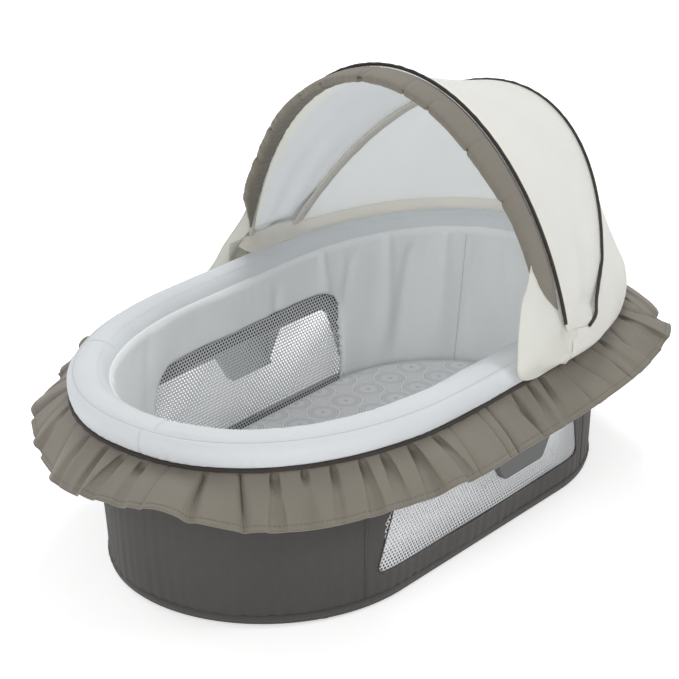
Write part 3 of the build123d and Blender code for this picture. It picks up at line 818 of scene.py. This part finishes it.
def rounded_window(x, z):
    """Distance outside the liner's window: flat foot, round upper corners."""
    half, low, high, corner = 175.0, 20.0, 176.0, 38.0
    return np.maximum(past_corner(np.abs(x) - half + corner, z - high + corner, corner), low - z)


def snapped(grid, distance, reach):
    """Grid whose points near a window's edge are moved onto that edge, in X and Z."""
    x, z = grid[:, :, 0], grid[:, :, 2]
    step = 0.5
    for _ in range(3):
        d = distance(x, z)
        slope_x = (distance(x + step, z) - distance(x - step, z)) / (2 * step)
        slope_z = (distance(x, z + step) - distance(x, z - step)) / (2 * step)
        size = np.maximum(slope_x**2 + slope_z**2, 1e-6)
        near = np.abs(d) < reach
        x = np.where(near, x - d * slope_x / size, x)
        z = np.where(near, z - d * slope_z / size, z)
    moved = grid.copy()
    moved[:, :, 0], moved[:, :, 2] = x, z
    return moved


def face_middles(grid):
    """Middle of each quad of a grid that closes on itself along its first direction."""
    after = np.roll(grid, -1, 0)
    return (grid[:, :-1] + grid[:, 1:] + after[:, :-1] + after[:, 1:]) / 4


def window_faces(middle, distance):
    """Which quads lie in a window of either side, from their middles."""
    return (distance(middle[:, :, 0], middle[:, :, 2]) < 0) & (np.abs(middle[:, :, 1]) > SIDE_Y)


def area_of(grid, closed=True, keep=1):
    """Area of a grid's kept quads, in square metres."""
    after = np.roll(grid, -1, 0) if closed else grid[1:]
    here = grid if closed else grid[:-1]
    quads = np.cross(after[:, 1:] - here[:, :-1], here[:, 1:] - after[:, :-1])
    return float((0.5 * np.linalg.norm(quads, axis=2) * keep).sum()) * MM * MM


def outer_wall():
    """Charcoal end and side panels with slanted windows, and the seams between them."""
    low, _ = outline(WALL_LOW, WALL_COUNT, OVAL)
    high, _ = outline(WALL_HIGH, WALL_COUNT)
    grid = climb(low, high, WALL_Z, 96)
    around = (np.arange(WALL_COUNT) / WALL_COUNT)[:, None]
    x, y, z = grid[:, :, 0], grid[:, :, 1], grid[:, :, 2]
    up = (z - WALL_Z[0]) / (WALL_Z[1] - WALL_Z[0])
    upright = waves(around, 41, 50, 130, 16) * (0.35 + 0.5 * smooth(0.4, 0.0, up))
    soft = ripples(around * 2000, z, 42, (90, 320))
    amount = 0.55 * upright + 1.1 * soft * np.sin(np.pi * np.clip(up, 0, 1)) ** 0.5
    amount += smooth(220, 300, x) * 0.9 * waves(around, 43, 70, 150, 14) * smooth(0.0, 0.2, up)
    amount *= smooth(0.0, 0.04, up)
    grid = snapped(push_out(grid, amount), slanted_window, 1.5)
    middle = face_middles(grid)
    side = (np.abs(middle[:, :, 0]) < PANEL_SEAM_X) & ~window_faces(middle, slanted_window)
    pieces = (                    # node, its width round the wall and its quads
        ("foot_panel", 560, middle[:, :, 0] < -PANEL_SEAM_X),
        ("head_panel", 560, middle[:, :, 0] > PANEL_SEAM_X),
        ("side_panel_left", 424, side & (middle[:, :, 1] > 0)),
        ("side_panel_right", 424, side & (middle[:, :, 1] < 0)),
    )
    for node, width, keep in pieces:
        panel = cloth(f"{node}_cloth", grid, 1.0, CHARCOAL, "charcoal_fabric", "basket", node,
                      closed_u=True, keep=keep)
        area_of(grid, keep=keep)
    for end, end_sign in (("head", 1), ("foot", -1)):
        for name, sign in SIDES:
            column = np.argmin(np.hypot(x[:, 0] - end_sign * PANEL_SEAM_X, y[:, 0] - sign * 180))
            tube(f"panel_seam_{end}_{name}", push_out(grid, 0.75)[column, 3:], 0.55, CHARCOAL,
                 "charcoal_fabric", "basket")


def wall_depth(low, high, heights, x, z):
    """Half width of a wall between two ovals at given places along and up it."""
    t = np.clip((z - heights[0]) / (heights[1] - heights[0]), 0, 1)

    def half(size, power):
        share = np.clip((np.abs(x) - size[2]) / (size[0] - size[2]), 0, 1)
        return size[1] * (1 - share**power) ** (1 / power)

    return half(low, OVAL) * (1 - t) + half(high, ROUND) * t


def window_trim():
    """Turned cloth edge round the slanted windows."""
    (wide, foot), (_, top) = WINDOW_OUT
    middle = (foot + top) / 2
    turn = np.linspace(0, 2 * math.pi, 361)[:-1]
    reach = np.full(360, 1.0)
    for _ in range(40):
        x, z = reach * np.cos(turn) * wide, middle + reach * np.sin(turn) * wide
        reach -= slanted_window(x, z) / wide * 0.8
    x, z = resample(np.stack([x, z], 1), 420, closed=True).T
    for name, side in SIDES:
        depth = side * (wall_depth(WALL_LOW, WALL_HIGH, WALL_Z, x, z) + 0.2)
        tube(f"outer_window_edge_{name}", np.stack([x, depth, z], 1), 0.8, CHARCOAL, "charcoal_fabric",
             "basket", closed=True, sides=8)


HEM_SECTION = [(0.2, 16.2), (1.7, 15.4), (2.3, 12.5), (1.9, 9.2), (0.6, 8.2), (-1.2, 9.0), (-1.4, 12.5),
               (-1.2, 16.0)]


def hem():
    """Bound hem round the foot of the wall."""
    around = np.arange(WALL_COUNT) / WALL_COUNT
    section = spline(HEM_SECTION, 14)
    offset = section[:, 0] + 0.2 * waves(around, 44, 60, 150, 12)[:, None]
    grid = ring(WALL_LOW, offset, section[:, 1], WALL_COUNT, power=OVAL)
    surface("hem_tape", grid, CHARCOAL, "dark_binding", "basket", "hem_binding")


outer_wall()
window_trim()
hem()


# ---- nets ------------------------------------------------------------------------------------
NET_PITCH = (5.0, 4.1)            # spacing of the holes along a row, and of the rows
NET_OPEN = (0.66, 0.68)           # share of a cell's width and height that is hole
NET_MARGIN = 4.0                  # the net runs this far behind the window's edge


def net(name, node, distance, place, x_reach, z_span):
    """Knitted net: six-sided holes in staggered rows, as one perforated sheet."""
    pitch = NET_PITCH
    columns = int(x_reach / pitch[0]) + 2
    rows = int((z_span[1] - z_span[0]) / pitch[1]) + 2
    j, i = np.meshgrid(np.arange(rows), np.arange(-columns, columns + 1), indexing="ij")
    cx = (i + 0.5 * (j % 2)) * pitch[0]
    cz = z_span[0] + j * pitch[1]
    centres = np.stack([cx, cz], -1)[distance(cx, cz) < NET_MARGIN]
    tall, wide = pitch[1] * 2 / 3, pitch[0] / 2
    hexagon = np.array([(0, tall), (-wide, tall / 2), (-wide, -tall / 2), (0, -tall), (wide, -tall / 2),
                        (wide, tall / 2)])
    flat = (centres[:, None] + hexagon).reshape(-1, 2)
    holes = (centres[:, None] + hexagon * NET_OPEN).reshape(-1, 2)
    key = np.round(flat / 0.05).astype(np.int64)
    _, first, shared = np.unique(key, axis=0, return_index=True, return_inverse=True)
    shared = shared.ravel().reshape(-1, 6)
    verts = np.concatenate([flat[first], holes])
    inner = len(first) + np.arange(len(centres) * 6).reshape(-1, 6)
    after, inner_after = np.roll(shared, -1, 1), np.roll(inner, -1, 1)
    faces = np.concatenate([np.stack([shared[:, k], after[:, k], inner_after[:, k], inner[:, k]], 1)
                            for k in range(6)])
    sheet = finish_mesh(name, place(verts[:, 0], verts[:, 1]), faces, verts * MM, [NET])
    settle(sheet, "white_mesh", "basket", node)


def nets():
    """Net behind each window of the wall and of the liner."""
    walls = (                     # wall, its ovals, window, step out from it, slack, seed, reach, heights
        ("outer", (WALL_LOW, WALL_HIGH, WALL_Z), slanted_window, -1.2, 0.9, 51, 204, (37, 148)),
        ("inner", (LINER_LOW, LINER_HIGH, LINER_Z), rounded_window, 4.2, 0.8, 52, 181, (26, 184)),
    )
    for name, side in SIDES:
        for wall, ovals, window, step, slack, seed, reach, span in walls:
            def place(x, z):
                depth = wall_depth(*ovals, x, z) + step + slack * ripples(x, z, seed, (120, 400))
                return np.stack([x, side * depth, z], 1)

            net(f"{wall}_net_{name}", f"{wall}_mesh_{name}", window, place, reach, span)


nets()


# ---- liner -------------------------------------------------------------------------------------
LINER_AROUND = 1900.0             # length once round the liner
LINER_LIP = [(-50.6, 227.0), (-50.2, 229.8), (-49.0, 232.4), (-47.4, 234.4), (-45.4, 236.2)]
LINER_SEAMS = (("head_left", (322, 90)), ("head_right", (338, -62)), ("foot_left", (-330, 62)),
               ("foot_right", (-330, -62)))
# place on the rim in X and Y, sideways run towards the foot of the wall, and depth
LINER_CREASES = ((60, 232, 20, 3.0), (150, 224, -30, -3.5), (205, 213, 25, 4.0), (262, 190, -20, -4.5),
                 (300, 166, 15, 4.5), (338, 130, -10, -4.0), (372, 84, 20, 4.0), (393, 40, -15, -4.0),
                 (398, -12, 20, 3.5), (385, -62, 10, -3.5), (352, -112, -20, 3.5), (290, -172, 25, -3.0),
                 (-200, 213, 30, 2.5), (-330, 138, -20, -3.0), (-392, 30, 15, 2.5))


def liner():
    """Padded inner wall that hangs in soft folds from the rim's inner seam, with two windows."""
    rows, count = 92, 1300
    low, _ = outline(LINER_LOW, count, OVAL)
    plan, normal = outline(RIM, count)
    hung_out, hung_z = LINER_LIP[0]
    lip = np.array(LINER_LIP[1:])
    grid = np.concatenate([climb(low, plan + hung_out * normal, (LINER_Z[0], hung_z), rows),
                           ring(RIM, lip[:, 0], lip[:, 1], count)], 1)
    around = (np.arange(count) / count)[:, None]
    x, z = grid[:, :, 0], grid[:, :, 2]
    up = np.clip((z - LINER_Z[0]) / (hung_z - LINER_Z[0]), 0, 1)
    head = smooth(120, 290, x)
    broad = waves(around, 61, 14, 30, 10) * (0.6 + 1.7 * head)
    drawn = waves(around, 62, 34, 58, 12) * (0.2 + 0.7 * head) * smooth(0.25, 0.85, up)
    gathered = waves(around, 66, 70, 120, 14) * 0.35 * smooth(0.8, 0.98, up) * (0.5 + 0.5 * head)
    soft = ripples(around * LINER_AROUND, z, 63, (80, 260))
    amount = -2.0 * np.sin(np.pi * up) + (broad + drawn) * np.sin(np.pi * up**1.25) ** 0.7
    amount = amount + gathered + 1.1 * soft
    for spot_x, spot_y, lean, depth in LINER_CREASES:
        column = nearest(plan, spot_x, spot_y) / count
        away = ((around - column + 0.5) % 1 - 0.5) * LINER_AROUND - lean * (1 - up)
        amount += depth * bump_at(away, 0.0, 7.0 + 12.0 * (1 - up)) * smooth(0.1, 0.5, up)
    amount *= smooth(0.0, 0.1, up) * smooth(235.5, 227.0, z)
    amount = np.where(amount > 0, amount * smooth(226.0, 196.0, z), amount)
    grid = snapped(push_out(grid, amount), rounded_window, 1.6)
    gap = rounded_window(grid[:, :, 0], grid[:, :, 2])
    roll = np.where(np.abs(grid[:, :, 1]) > SIDE_Y, 4.0 * np.clip(1 - gap / 7.0, 0, 1) ** 2, 0.0)
    grid = push_out(grid, roll)
    window = window_faces(face_middles(grid), rounded_window)
    wall = cloth("liner_cloth", grid, 1.6, LINER_CLOTH, "liner_fabric", "basket", "liner", closed_u=True,
                 flip=True, keep=~window)
    for name, spot in LINER_SEAMS:
        column = nearest(grid[:, 40], *spot)
        tube(f"liner_seam_{name}", push_out(grid, -1.0)[column, 8:rows], 0.45, THREAD_WHITE,
             "liner_fabric", "basket")


def level_cloth(name, size, count, rows, height, wobble, *finish):
    """Nearly level cloth over an oval, and its area."""
    points, _ = outline(size, count, OVAL)
    plan = points[:, None] * np.linspace(0.001, 1, rows)[None, :, None]
    amount, seed, pitch = wobble
    level = height + amount * ripples(plan[:, :, 0], plan[:, :, 1], seed, pitch)
    grid = np.concatenate([plan, level[:, :, None]], 2)
    return cloth(name, grid, *finish, closed_u=True), area_of(grid)


def liner_floor():
    """Cloth floor under the mattress pad."""
    floor, area = level_cloth("liner_floor_cloth", (344, 175, 158), 300, 30, 21.2, (0.3, 64, (60, 200)),
                              0.8, LINER_CLOTH, "liner_fabric", "basket", "liner_floor")


liner()
liner_floor()


# ---- mattress pad ---------------------------------------------------------------------------------
PAD_EDGE = [(-14.0, 27.0), (-4.0, 26.6), (-0.6, 29.5), (0.0, 36.0), (-0.6, 43.0), (-3.5, 47.6),
            (-9.0, 49.6), (-18.0, 50.4)]
PAD_UNDER_Z = 26.8


def mattress():
    """Thin foam pad in a printed cover, with a piped edge."""
    count, top_z = 900, PAD_EDGE[-1][1]
    section = spline(PAD_EDGE, 30)
    around = (np.arange(count) / count)[:, None]
    offset = section[:, 0] + 0.6 * waves(around, 71, 60, 130, 14) * bump_at(section[:, 1], 38, 8)
    side = ring(PAD, offset, section[:, 1] + 0 * around, count, power=OVAL)
    share = np.linspace(1, 0.001, 46)[1:]
    inner = side[:, -1]
    top = inner[:, None, :2] * share[None, :, None]
    crown = top_z + 1.2 * smooth(1.0, 0.6, share) + 0.7 * ripples(top[:, :, 0], top[:, :, 1], 72, (80, 260))
    ease = smooth(1.0, 0.9, share)[None, :]
    crown = crown * ease + top_z * (1 - ease)
    under = inner[:, None, :2] * np.linspace(0.001, 1, 8)[None, :, None]
    grid = np.concatenate([np.concatenate([under, np.full((count, 8, 1), PAD_UNDER_Z)], 2), side,
                           np.concatenate([top, crown[:, :, None]], 2)], 1)
    pad = surface("mattress_cover", grid, PAD_PRINT, "mattress_print", "basket", "mattress_pad",
                  closed_v=False)
    line = ring(PAD, np.array([-2.2]), np.array([47.8]), count, power=OVAL)[:, 0]
    tube("mattress_piping", line, 1.5, NET, "mattress_print", "basket", closed=True, sides=8)


mattress()


# ---- canopy ------------------------------------------------------------------------------------------
TOP_LOW_Z = 248.0                 # the top panel runs down inside the skirt to here
LEDGE_Z = 250.0                   # the skirt turns down over the rim at this height
SKIRT_FOOT_Z = 216.2
ARCH = 260                        # points along an arch of the top panel
# point that the canopy's surface faces away from
CANOPY_HEART = np.array([BOW_CENTRE[0] + 60.0, 0.0, BOW_CENTRE[1]])


def bow_points(bow, grow, angle, ahead=0.0):
    """Points of a bow's ellipse, pushed outwards by grow and towards the foot by ahead."""
    lean, half_width, rise = bow
    tilt = math.radians(lean)
    y = (half_width + grow) * np.cos(angle)
    r = (rise + grow) * np.sin(angle)
    x = BOW_CENTRE[0] + r * math.sin(tilt) - ahead * math.cos(tilt)
    z = BOW_CENTRE[1] + r * math.cos(tilt) + ahead * math.sin(tilt)
    return np.stack(np.broadcast_arrays(x, y, z), -1)


def start_angle(bow, grow, height):
    """Ellipse angle at which a bow's line is at a height above the floor."""
    lean, _, rise = bow
    return math.asin((height - BOW_CENTRE[1]) / math.cos(math.radians(lean)) / (rise + grow))


def bow_line(bow, grow, height, count, ahead=0.0):
    """Line along a bow from the left side to the right side, above a height."""
    start = start_angle(bow, grow, height)
    return bow_points(bow, grow, np.linspace(start, math.pi - start, count), ahead)


def set_blend(obj):
    """Bake an object's placement into its mesh."""
    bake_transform(obj)


def mesh_points(obj):
    """Points of a mesh in millimetres."""
    flat = np.zeros(len(obj.data.vertices) * 3, np.float32)
    obj.data.vertices.foreach_get("co", flat)
    return flat.reshape(-1, 3) / MM


def lean_of(points):
    """Angle of points about the bows' centre line, in degrees back from upright."""
    return np.degrees(np.arctan2(points[:, 0] - BOW_CENTRE[0], points[:, 2] - BOW_CENTRE[1]))


def hub_cleared(grid):
    """Grid eased outwards over the bows' end links and pivot pins."""
    x, y, z = grid[..., 0], grid[..., 1], grid[..., 2]
    need = 247.4 - 1.2 * np.maximum(z - 264.0, 0.0) - 30.0 * smooth(120, 190, x)
    soft = 2.0
    wide = soft * np.logaddexp(np.abs(y) / soft, need / soft)
    eased = grid.copy()
    eased[..., 1] = np.where(np.abs(y) > 150, np.sign(y) * wide, y)
    return eased


def facing_away(grid, heart):
    """Normals of a grid, turned away from a point."""
    normal = grid_normals(grid, False, False)
    return normal * np.sign((normal * (grid - np.array(heart))).sum(2, keepdims=True))


def canopy_top():
    """Top panel stretched between the two bows."""
    across = 40
    front, rear = (bow_line(bow, FABRIC, TOP_LOW_Z, ARCH) for bow in (FRONT, REAR))
    m = np.linspace(0, 1, across)[None, :]
    grid = front[:, None] * (1 - m[:, :, None]) + rear[:, None] * m[:, :, None]
    share = np.linspace(0, 1, ARCH)[:, None]
    between = np.sin(np.pi * m)
    sag = between * (2.0 + 5.0 * np.sin(np.pi * share) ** 2)
    crease = ripples(share * 900, m * 200, 81, (110, 420)) * between
    near_foot = bump_at(np.abs(np.cos(np.pi * share)), 0.93, 0.12)
    pulled = near_foot * between * 1.8 * np.sin(5.0 * np.pi * m)
    normal = facing_away(grid, (BOW_CENTRE[0] + 100, 0, BOW_CENTRE[1]))
    grid = hub_cleared(grid + normal * (-sag + 1.1 * crease + pulled)[:, :, None])
    grid = np.swapaxes(grid, 0, 1)
    panel = cloth("canopy_top_cloth", grid, 0.7, CANOPY_CLOTH, "canopy_fabric", None, "canopy_top",
                  inner=LINING)
    lean = lean_of(mesh_points(panel))
    set_blend(panel)
    length, width = length_of(grid[20]), length_of(grid[:, ARCH // 2])


# left lower end of the rear seam
REAR_CURL = np.array([(152.0, 234.0, 278.0), (134.0, 245.4, 265.0), (117.0, 248.4, 256.5)])


def rear_line(grow, count, behind=0.0):
    """Rear seam of the canopy: up over the rear bow, and curled forward above each hub."""
    upper = bow_line(REAR, grow, 308.0, 33, ahead=-behind)
    step = np.array([0.0, grow - FABRIC, 0.0])
    return spline(np.vstack([REAR_CURL[::-1] + step, upper, REAR_CURL * [1, -1, 1] - step]), count)


def head_line(from_x, count):
    """Rim's outline round the head end, from left to right: points, normals, length."""
    points, normals = outline(RIM, 4000)
    keep = points[:, 0] > from_x
    order = np.argsort(np.arctan2(points[keep, 1], points[keep, 0]))[::-1]
    head, head_normals = points[keep][order], normals[keep][order]
    arc = running(head)
    want = np.linspace(0, arc[-1], count)
    both = [np.stack([np.interp(want, arc, line[:, k]) for k in range(2)], 1)
            for line in (head, head_normals)]
    return *both, arc[-1]


def canopy_back():
    """Back panel from the rear bow to the rim, and the skirt that wraps the rim's outside."""
    count, start_x, across, wrapped = 460, 80.0, 44, 14
    plan, plan_normal, length = head_line(start_x, count)
    share = np.linspace(0, 1, count)
    curl = REAR_CURL[-1]
    ends = int(round((curl[0] - start_x) / length * count))
    corner = np.array([start_x + 2, 248.6, 263.0])
    lead = corner + (curl - corner) * np.linspace(0, 1, ends, endpoint=False)[:, None]
    seam = rear_line(FABRIC + 0.4, count - 2 * ends)
    top = np.vstack([lead, seam, (lead * [1, -1, 1])[::-1]])
    hub = smooth(250.0, 120.0, plan[:, :1])
    ledge_out = 1.5 + 18.0 * hub
    ledge = np.concatenate([plan + plan_normal * ledge_out, np.full((count, 1), LEDGE_Z)], 1)
    m = np.linspace(0, 1, across)[None, :]
    grid = top[:, None] * (1 - m[:, :, None]) + ledge[:, None] * m[:, :, None]
    crease = ripples(share[:, None] * 1100, m * 220, 82, (90, 380)) * np.sin(np.pi * m) * 1.1
    hollow = np.sin(np.pi * m) * -2.5 * np.sin(np.pi * share)[:, None] ** 0.7
    open_width = smooth(4.0, 30.0, np.linalg.norm(top - ledge, axis=1))[:, None]
    grid = grid + facing_away(grid, (200.0, 0, 150.0)) * ((hollow + crease) * open_width)[:, :, None]
    d = np.linspace(0, 1, wrapped + 1)[1:]
    fall = d ** (1.4 + 1.8 * hub)
    drop_out = ledge_out * (1 - fall) + 1.3 * fall + 2.6 * np.sin(np.pi * d) * (1 - 0.5 * hub)
    drop_z = np.broadcast_to(LEDGE_Z + (SKIRT_FOOT_Z - LEDGE_Z) * d, (count, wrapped))
    wrap = plan[:, None] + plan_normal[:, None] * drop_out[:, :, None]
    grid = np.concatenate([grid, np.concatenate([wrap, drop_z[:, :, None]], 2)], 1)
    grid = np.swapaxes(grid, 0, 1)
    panel = cloth("canopy_back_cloth", grid, 0.7, BACK_CLOTH, "canopy_fabric", None, "canopy_back",
                  "canopy_skirt", inner=LINING)
    points = mesh_points(panel)
    fan = smooth(REAR[0], 82.0, lean_of(points))
    set_blend(panel)


def canopy_apron():
    """Lining strip inside the canopy, from the back panel's foot to the top of the rim."""
    count, root_z = 320, 250.8
    plan, plan_normal, length = head_line(50.0, count)
    share, t = np.linspace(0, 1, count), np.linspace(0, 1, 14)
    hub = smooth(180.0, 120.0, plan[:, :1])
    out = -20.0 + (12.5 + 15.0 * hub) * t
    high = 250.2 + 2.0 * t + (9.5 + 1.5 * hub) * t**2
    ease = smooth(-0.01, 0.02, share)
    ease = (ease * ease[::-1])[:, None]
    gather = waves(share, 83, 14, 44, 12)[:, None] * np.sin(np.pi * t)
    height = root_z + (high - root_z) * ease + 0.7 * gather * ease
    grid = np.concatenate([plan[:, None] + plan_normal[:, None] * out[:, :, None], height[:, :, None]], 2)
    strip = cloth("canopy_apron_cloth", grid, 0.6, LINING, "canopy_fabric", "basket", flip=True)
    tube("canopy_apron_seam", grid[:, 0] + [0, 0, 0.5], 0.7, LINING, "canopy_fabric", "basket")


# the border's section: share of its width, share of its thickness
BORDER_SECTION = [(0.0, 0.1), (0.06, 0.42), (0.3, 0.55), (0.7, 0.5), (0.95, 0.3), (1.0, -0.1),
                  (0.93, -0.45), (0.6, -0.6), (0.25, -0.55), (0.04, -0.35), (0.0, 0.1)]
# place along the border, slant and depth of each sharp pinch
BORDER_PINCHES = ((0.13, 0.004, 1.4), (0.21, -0.006, 1.8), (0.30, 0.008, 1.2), (0.37, -0.004, 2.0),
                  (0.45, 0.010, 2.6), (0.475, -0.008, 2.4), (0.56, 0.006, 1.6), (0.63, -0.006, 1.4),
                  (0.72, 0.004, 1.8), (0.82, -0.004, 1.3))


def front_border():
    """Padded taupe border in front of the front bow, gathered along its inner edge."""
    count = 520
    start = start_angle(FRONT, 0, 274.0)
    angle = np.linspace(start, math.pi - start, count)[:, None]
    share = np.linspace(0, 1, count)[:, None]
    height = BOW_CENTRE[1] + FRONT[2] * np.sin(angle)
    taper = smooth(268.0, 338.0, height)
    width = 1.5 + 27.5 * taper + 10.0 * smooth(385.0, 470.0, height)
    thick = 2.0 + 9.0 * taper
    section = spline(BORDER_SECTION, 41)[:-1]
    pucker, fine = waves(share, 91, 18, 55, 16), waves(share, 92, 60, 120, 14)
    inner_side = np.clip(-section[:, 1], 0, 1)
    front_side = smooth(0.4, 1.0, section[:, 0])
    dent = np.zeros((count, len(section)))
    for place, slant, depth in BORDER_PINCHES:
        at = share - place - slant * section[:, 0]
        dent += depth * bump_at(at, 0.0, 0.0035) * (0.35 + 0.65 * front_side)
    scallop = (1.0 * pucker + 0.4 * fine) * front_side - 0.8 * dent * front_side
    ahead = 2.5 + width * section[:, 0] + scallop * taper
    grow = FABRIC - 5.5 + thick * section[:, 1] * 1.1
    grow = grow + ((1.4 * pucker + 0.7 * fine) * inner_side - dent * np.sign(section[:, 1])) * taper
    lean, half_width, rise = FRONT
    tilt = math.radians(lean)
    r = (rise + grow) * np.sin(angle)
    grid = np.stack([BOW_CENTRE[0] + r * math.sin(tilt) - ahead, (half_width + grow) * np.cos(angle),
                     BOW_CENTRE[1] + r * math.cos(tilt)], -1)
    faces = grid_faces(count, len(section), False, True).tolist() + end_caps(count, len(section))
    border = finish_mesh("front_border_cloth", grid.reshape(-1, 3), faces, grid_uvs(grid), [TAUPE])
    settle(border, "taupe_fabric", "front_canopy", "front_border")


def pipings():
    """Dark cord piping over both bows, and the bows' inner sleeves."""
    for node, line, flange, body in (
        ("front_piping", bow_line(FRONT, FABRIC + 1.7, 271.0, 420),
         bow_line(FRONT, FABRIC + 0.6, 271.0, 420), "front_canopy"),
        ("rear_piping", rear_line(FABRIC + 1.6, 460, 2.0), rear_line(FABRIC + 0.7, 460, 2.0),
         "rear_canopy"),
    ):
        share = np.linspace(0, 1, len(line))
        line = line + (0.3 * waves(share, 95, 20, 60))[:, None] * [0.0, 0.3, 1.0]
        thick = 2.0 * (0.55 + 0.45 * np.sin(np.pi * share) ** 0.12)
        tube(f"{node}_cord", line, thick, BINDING, "dark_binding", body, node, sides=12)
        tube(f"{node}_flange", flange, 2.3, BINDING, "dark_binding", body, sides=8, squash=0.3,
             ups=flange - CANOPY_HEART)
    tail = 52                     # points of the front bow's line at each end
    for name, side in SIDES:
        line = bow_line(FRONT, 0.0, 246.0, 300)[::side][:tail]
        wide = 4.6 + 0.5 * waves(np.linspace(0, 1, tail), 98, 4, 12)
        tube(f"front_bow_sleeve_{name}", line, wide, FLAP_CLOTH, "canopy_fabric", "front_canopy",
             sides=14, squash=0.62, ups=line - CANOPY_HEART)
    share = np.linspace(0, 1, 300)
    line = bow_line(REAR, 0.0, 252.0, 300) + (0.5 * waves(share, 96, 10, 40))[:, None] * [0.4, 0.0, 0.4]
    tube("rear_bow_sleeve_tape", line, 8.0 + 0.6 * waves(share, 97, 12, 40), SLEEVE, "sleeve_fabric",
         "rear_canopy", "rear_bow_sleeve", sides=16, squash=0.40, ups=line - CANOPY_HEART)


# free edge of each side flap in X and Z, from the bow down
FLAP_EDGES = {
    "right": [(66, 384), (48, 354), (29, 332), (9, 312), (-9, 275), (-13, 256), (-12, 242), (-4, 230),
              (10, 222), (30, 218), (50, 219.5), (66, 224)],
    "left": [(68, 350), (62, 322), (54, 297), (35, 273), (12, 247), (-9, 236), (-12, 228), (0, 221),
             (30, 217.5), (50, 217.5), (66, 219)],
}
HUB_X, HUB_Z = (34, 92), (226, 262)     # space over the canopy's mount that the hub cover hides


def flap_reach(x, z):
    """Distance of a side flap from the middle: on the bow above, round the rim below."""
    _, half_width, rise = FRONT
    r = np.clip((z - BOW_CENTRE[1]) / rise, 0, 1)
    on_bow = (half_width + 1.5) * np.sqrt(1 - r**2)
    tuck = smooth(268, 218, z)
    out = on_bow * (1 - tuck) + (236.5 + 17.5 * smooth(16, 66, x) * smooth(216, 236, z)) * tuck
    fold = np.sin((x - 0.25 * (z - 230)) / 9.0 + 0.8) * smooth(350, 300, z) * smooth(216, 232, z)
    out = out + 1.1 * fold * smooth(78, 45, x)
    over_hub = 251.0 - 1.2 * np.maximum(z - 260.0, 0.0) - 60.0 * smooth(76, 40, x)
    return np.maximum.reduce([out, 235.3 * smooth(264, 254, z), over_hub])


def side_flap(name, side):
    """Loose fabric wing below an end of the front border, down to the rim's lower edge."""
    rows, columns = 76, 36
    edge = spline(FLAP_EDGES[name], rows)
    back_z = np.linspace(edge[0, 1], edge[-1, 1], rows)
    back_x = 74.0 + 16.0 * bump_at(back_z, 254.0, 20.0) - 4.0 * smooth(240, 222, back_z)
    t = np.linspace(0, 1, columns)[None, :]
    x = edge[:, :1] * (1 - t) + back_x[:, None] * t
    z = edge[:, 1:] * (1 - t) + back_z[:, None] * t
    grid = np.stack([x, side * flap_reach(x, z), z], -1)
    flap = cloth(f"side_flap_{name}_cloth", grid, 0.7, FLAP_CLOTH, "flap_fabric", "front_canopy",
                 f"side_flap_{name}", flip=side > 0)
    hem_edge = tube(f"side_flap_{name}_hem", grid[:, 0], 0.7, FLAP_CLOTH, "flap_fabric", "front_canopy")
    for piece in (flap, hem_edge):
        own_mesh(piece)


def hub_cover(name, side):
    """Small cloth behind a side flap that still covers the canopy's mount when it is folded."""
    x, z = np.meshgrid(np.linspace(*HUB_X, 30), np.linspace(*HUB_Z, 22), indexing="ij")
    down = np.clip((LEDGE_Z - z) / 33.8, 0, 1)
    skirt = RIM[1] + 19.5 - 18.2 * down**3.2 + 1.3 * np.sin(np.pi * down)
    grid = np.stack([x, side * (np.minimum(flap_reach(x, z), skirt) - 1.7), z], -1)
    cover = cloth(f"hub_cover_{name}_cloth", grid, 0.6, FLAP_CLOTH, "flap_fabric", "basket",
                  flip=side > 0)


canopy_top()
canopy_back()
canopy_apron()
front_border()
pipings()
for name, side in SIDES:
    side_flap(name, side)
    hub_cover(name, side)


# ---- underside cover and the CAD parts that stay ----------------------------------------------------------
def base_cover():
    """Cloth stretched under the base board."""
    cover, area = level_cloth("base_cover_cloth", (355.5, 188.5, 158), 500, 40, 6.8, (0.25, 65, (80, 260)),
                              0.9, CHARCOAL, "charcoal_fabric", "basket", "base_cover")


base_cover()

KEPT = {"glide_feet": RUBBER, "base_board": BOARD, "mattress_board": BOARD}     # the rest is steel
for name, _ in SIDES:
    KEPT[f"dock_bracket_{name}"] = BRACKET
    for part in ("rim_joiner", "canopy_mount", "pin_spacer"):
        KEPT[f"{part}_{name}"] = HIDDEN_PLASTIC
for name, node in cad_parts.items():
    if not node.hide_render:
        node.data.materials.clear()
        node.data.materials.append(KEPT.get(name, STEEL))
